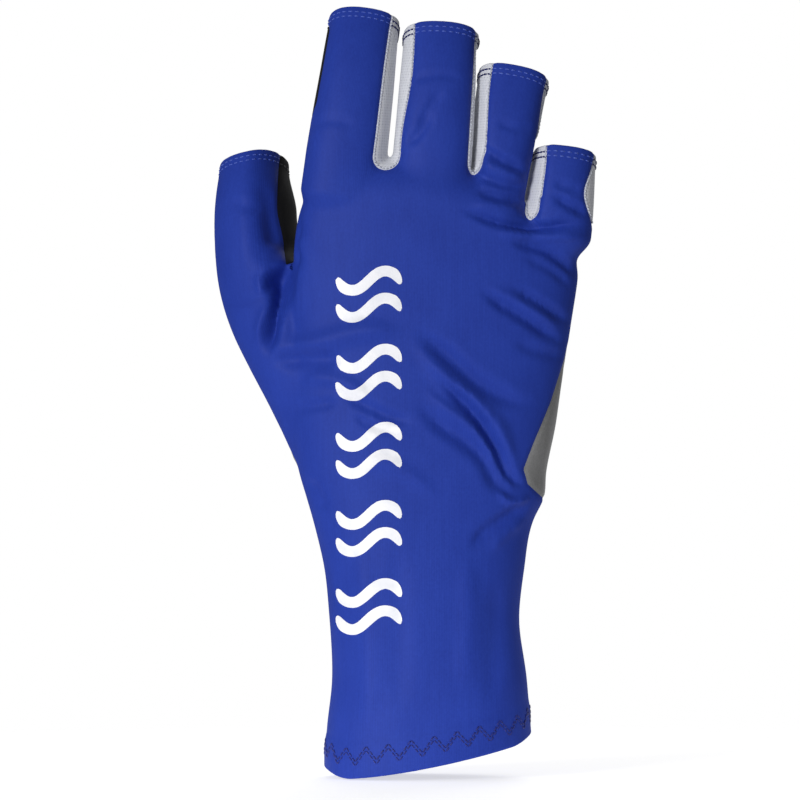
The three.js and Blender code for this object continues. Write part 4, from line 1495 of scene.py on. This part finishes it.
def make_label():
    """A plain woven label, sewn inside the cuff's palm side by its upper edge and curling off a little."""
    low = LABEL_TOP - LABEL_LENGTH
    grid = []
    for z in np.linspace(LABEL_TOP, low, LABEL_ROWS):
        left, right, back, palm = (edge(z) for edge in hand_edges)
        for x in np.linspace(-LABEL_WIDTH / 2, LABEL_WIDTH / 2, LABEL_COLUMNS):
            share = abs((x - (left + right) / 2) / ((right - left) / 2))
            depth = (palm - back) / 2 * (1 - share ** SQUARENESS) ** (1 / SQUARENESS)
            off = 0.9 + 0.9 * smoothstep(LABEL_TOP - 3, low, z) + 0.25 * math.sin(x / 4.0 + z / 6.0)
            grid.append((x, (palm + back) / 2 + depth - CLOTH - off, z))
    grid = np.array(grid)
    faces = []
    for row in range(LABEL_ROWS - 1):
        for column in range(LABEL_COLUMNS - 1):
            a = row * LABEL_COLUMNS + column
            faces.append((a, a + 1, a + LABEL_COLUMNS + 1, a + LABEL_COLUMNS))
    n = len(grid)
    back_faces = [tuple(i + n for i in face[::-1]) for face in faces]
    rim = boundary(np.array([face[:3] for face in faces] + [(face[0], *face[2:]) for face in faces]))
    walls = [(int(b), int(a), int(a) + n, int(b) + n) for a, b in rim]
    points = np.vstack([grid, grid - np.array([0, LABEL_THICKNESS, 0])])
    cloth = points[:, [0, 2, 1]] * MM
    return new_object("care_label", points, faces + back_faces + walls, LABEL, cloth=cloth)


label = make_label()
attach(label, "cuff", "label", "size_label")


# ------------------------------------------------------------------ floor, light and camera
# From here on in metres
FLOOR_HEIGHT = -0.00535
FLOOR_RADIUS, FLOOR_SIDES = 0.9, 96
FLOOR_FADE = (0.08, 0.34)      # how far out the floor starts to fade into the surround, and has faded
FLOOR_GLOW = 0.62


def make_floor():
    """A pale round floor, which fades out so that no edge of it shows."""
    angles = np.arange(FLOOR_SIDES) / FLOOR_SIDES * 2 * math.pi
    ring = [(FLOOR_RADIUS * math.cos(a), FLOOR_RADIUS * math.sin(a), FLOOR_HEIGHT) for a in angles]
    mesh = bpy.data.meshes.new("floor")
    mesh.from_pydata(ring, [], [tuple(range(FLOOR_SIDES))])
    material = bpy.data.materials.new("pale_floor")
    material.use_nodes = True
    tree = material.node_tree
    shader = tree.nodes["Principled BSDF"]
    shader.inputs["Base Color"].default_value = linear(246, 246, 247)
    shader.inputs["Roughness"].default_value = 0.8
    shader.inputs["Specular IOR Level"].default_value = 0.2
    shader.inputs["Emission Color"].default_value = (1, 1, 1, 1)
    shader.inputs["Emission Strength"].default_value = FLOOR_GLOW
    where = tree.nodes.new("ShaderNodeTexCoord")
    length = tree.nodes.new("ShaderNodeVectorMath")
    length.operation = "LENGTH"
    tree.links.new(where.outputs["Object"], length.inputs[0])
    fade = tree.nodes.new("ShaderNodeMapRange")
    fade.interpolation_type = "SMOOTHSTEP"
    start, end = FLOOR_FADE
    for socket, value in (("From Min", start), ("From Max", end), ("To Min", 1), ("To Max", 0)):
        fade.inputs[socket].default_value = value
    tree.links.new(length.outputs["Value"], fade.inputs["Value"])
    tree.links.new(fade.outputs["Result"], shader.inputs["Alpha"])
    mesh.materials.append(material)
    floor = bpy.data.objects.new("floor", mesh)
    bpy.context.collection.objects.link(floor)


def make_light(name, place, aim, size, power):
    """A square soft light of a given size, pointed at aim."""
    data = bpy.data.lights.new(name, "AREA")
    data.shape, data.size, data.energy = "SQUARE", size, power
    lamp = bpy.data.objects.new(name, data)
    bpy.context.collection.objects.link(lamp)
    lamp.location = place
    direction = np.array(aim) - np.array(place)
    lamp.rotation_euler = Vector(direction).to_track_quat("-Z", "Y").to_euler()


def make_world(seen, cast):
    """A plain bright surround, which looks brighter than the light it casts."""
    world = bpy.data.worlds.new("studio")
    bpy.context.scene.world = world
    world.use_nodes = True
    tree = world.node_tree
    plain = tree.nodes["Background"]
    plain.inputs["Strength"].default_value = cast
    bright = tree.nodes.new("ShaderNodeBackground")
    for node in (plain, bright):
        node.inputs["Color"].default_value = (1, 1, 1, 1)
    bright.inputs["Strength"].default_value = seen
    path, mix = tree.nodes.new("ShaderNodeLightPath"), tree.nodes.new("ShaderNodeMixShader")
    tree.links.new(path.outputs["Is Camera Ray"], mix.inputs["Fac"])
    tree.links.new(plain.outputs[0], mix.inputs[1])
    tree.links.new(bright.outputs[0], mix.inputs[2])
    tree.links.new(mix.outputs[0], tree.nodes["World Output"].inputs["Surface"])


CAMERA_DISTANCE, SEEN_WIDTH, SENSOR_WIDTH = 2.0, 0.25, 36
CAMERA_X, CAMERA_HEIGHT = -0.00875, 0.1125


def make_camera():
    """A camera far in front of the back of the hand and level with its middle, as in the photo."""
    data = bpy.data.cameras.new("camera")
    data.sensor_width = SENSOR_WIDTH
    data.lens = SENSOR_WIDTH * CAMERA_DISTANCE / SEEN_WIDTH
    camera = bpy.data.objects.new("camera", data)
    bpy.context.collection.objects.link(camera)
    camera.location = (CAMERA_X, -CAMERA_DISTANCE, CAMERA_HEIGHT)
    camera.rotation_euler = (math.pi / 2, 0, 0)
    bpy.context.scene.camera = camera


make_floor()
make_light("key_light", (-1.0, -1.45, 0.35), (0, 0, 0.1), 0.6, 22.5)
make_light("fill_light", (0.4, -1.7, 0.25), (0, 0, 0.1), 0.8, 2.0)
make_light("back_light", (0.2, 1.2, 0.8), (0, 0, 0.12), 1.0, 6)
make_world(seen=1.0, cast=0.2)
make_camera()
bpy.context.scene.view_settings.view_transform = "Standard"
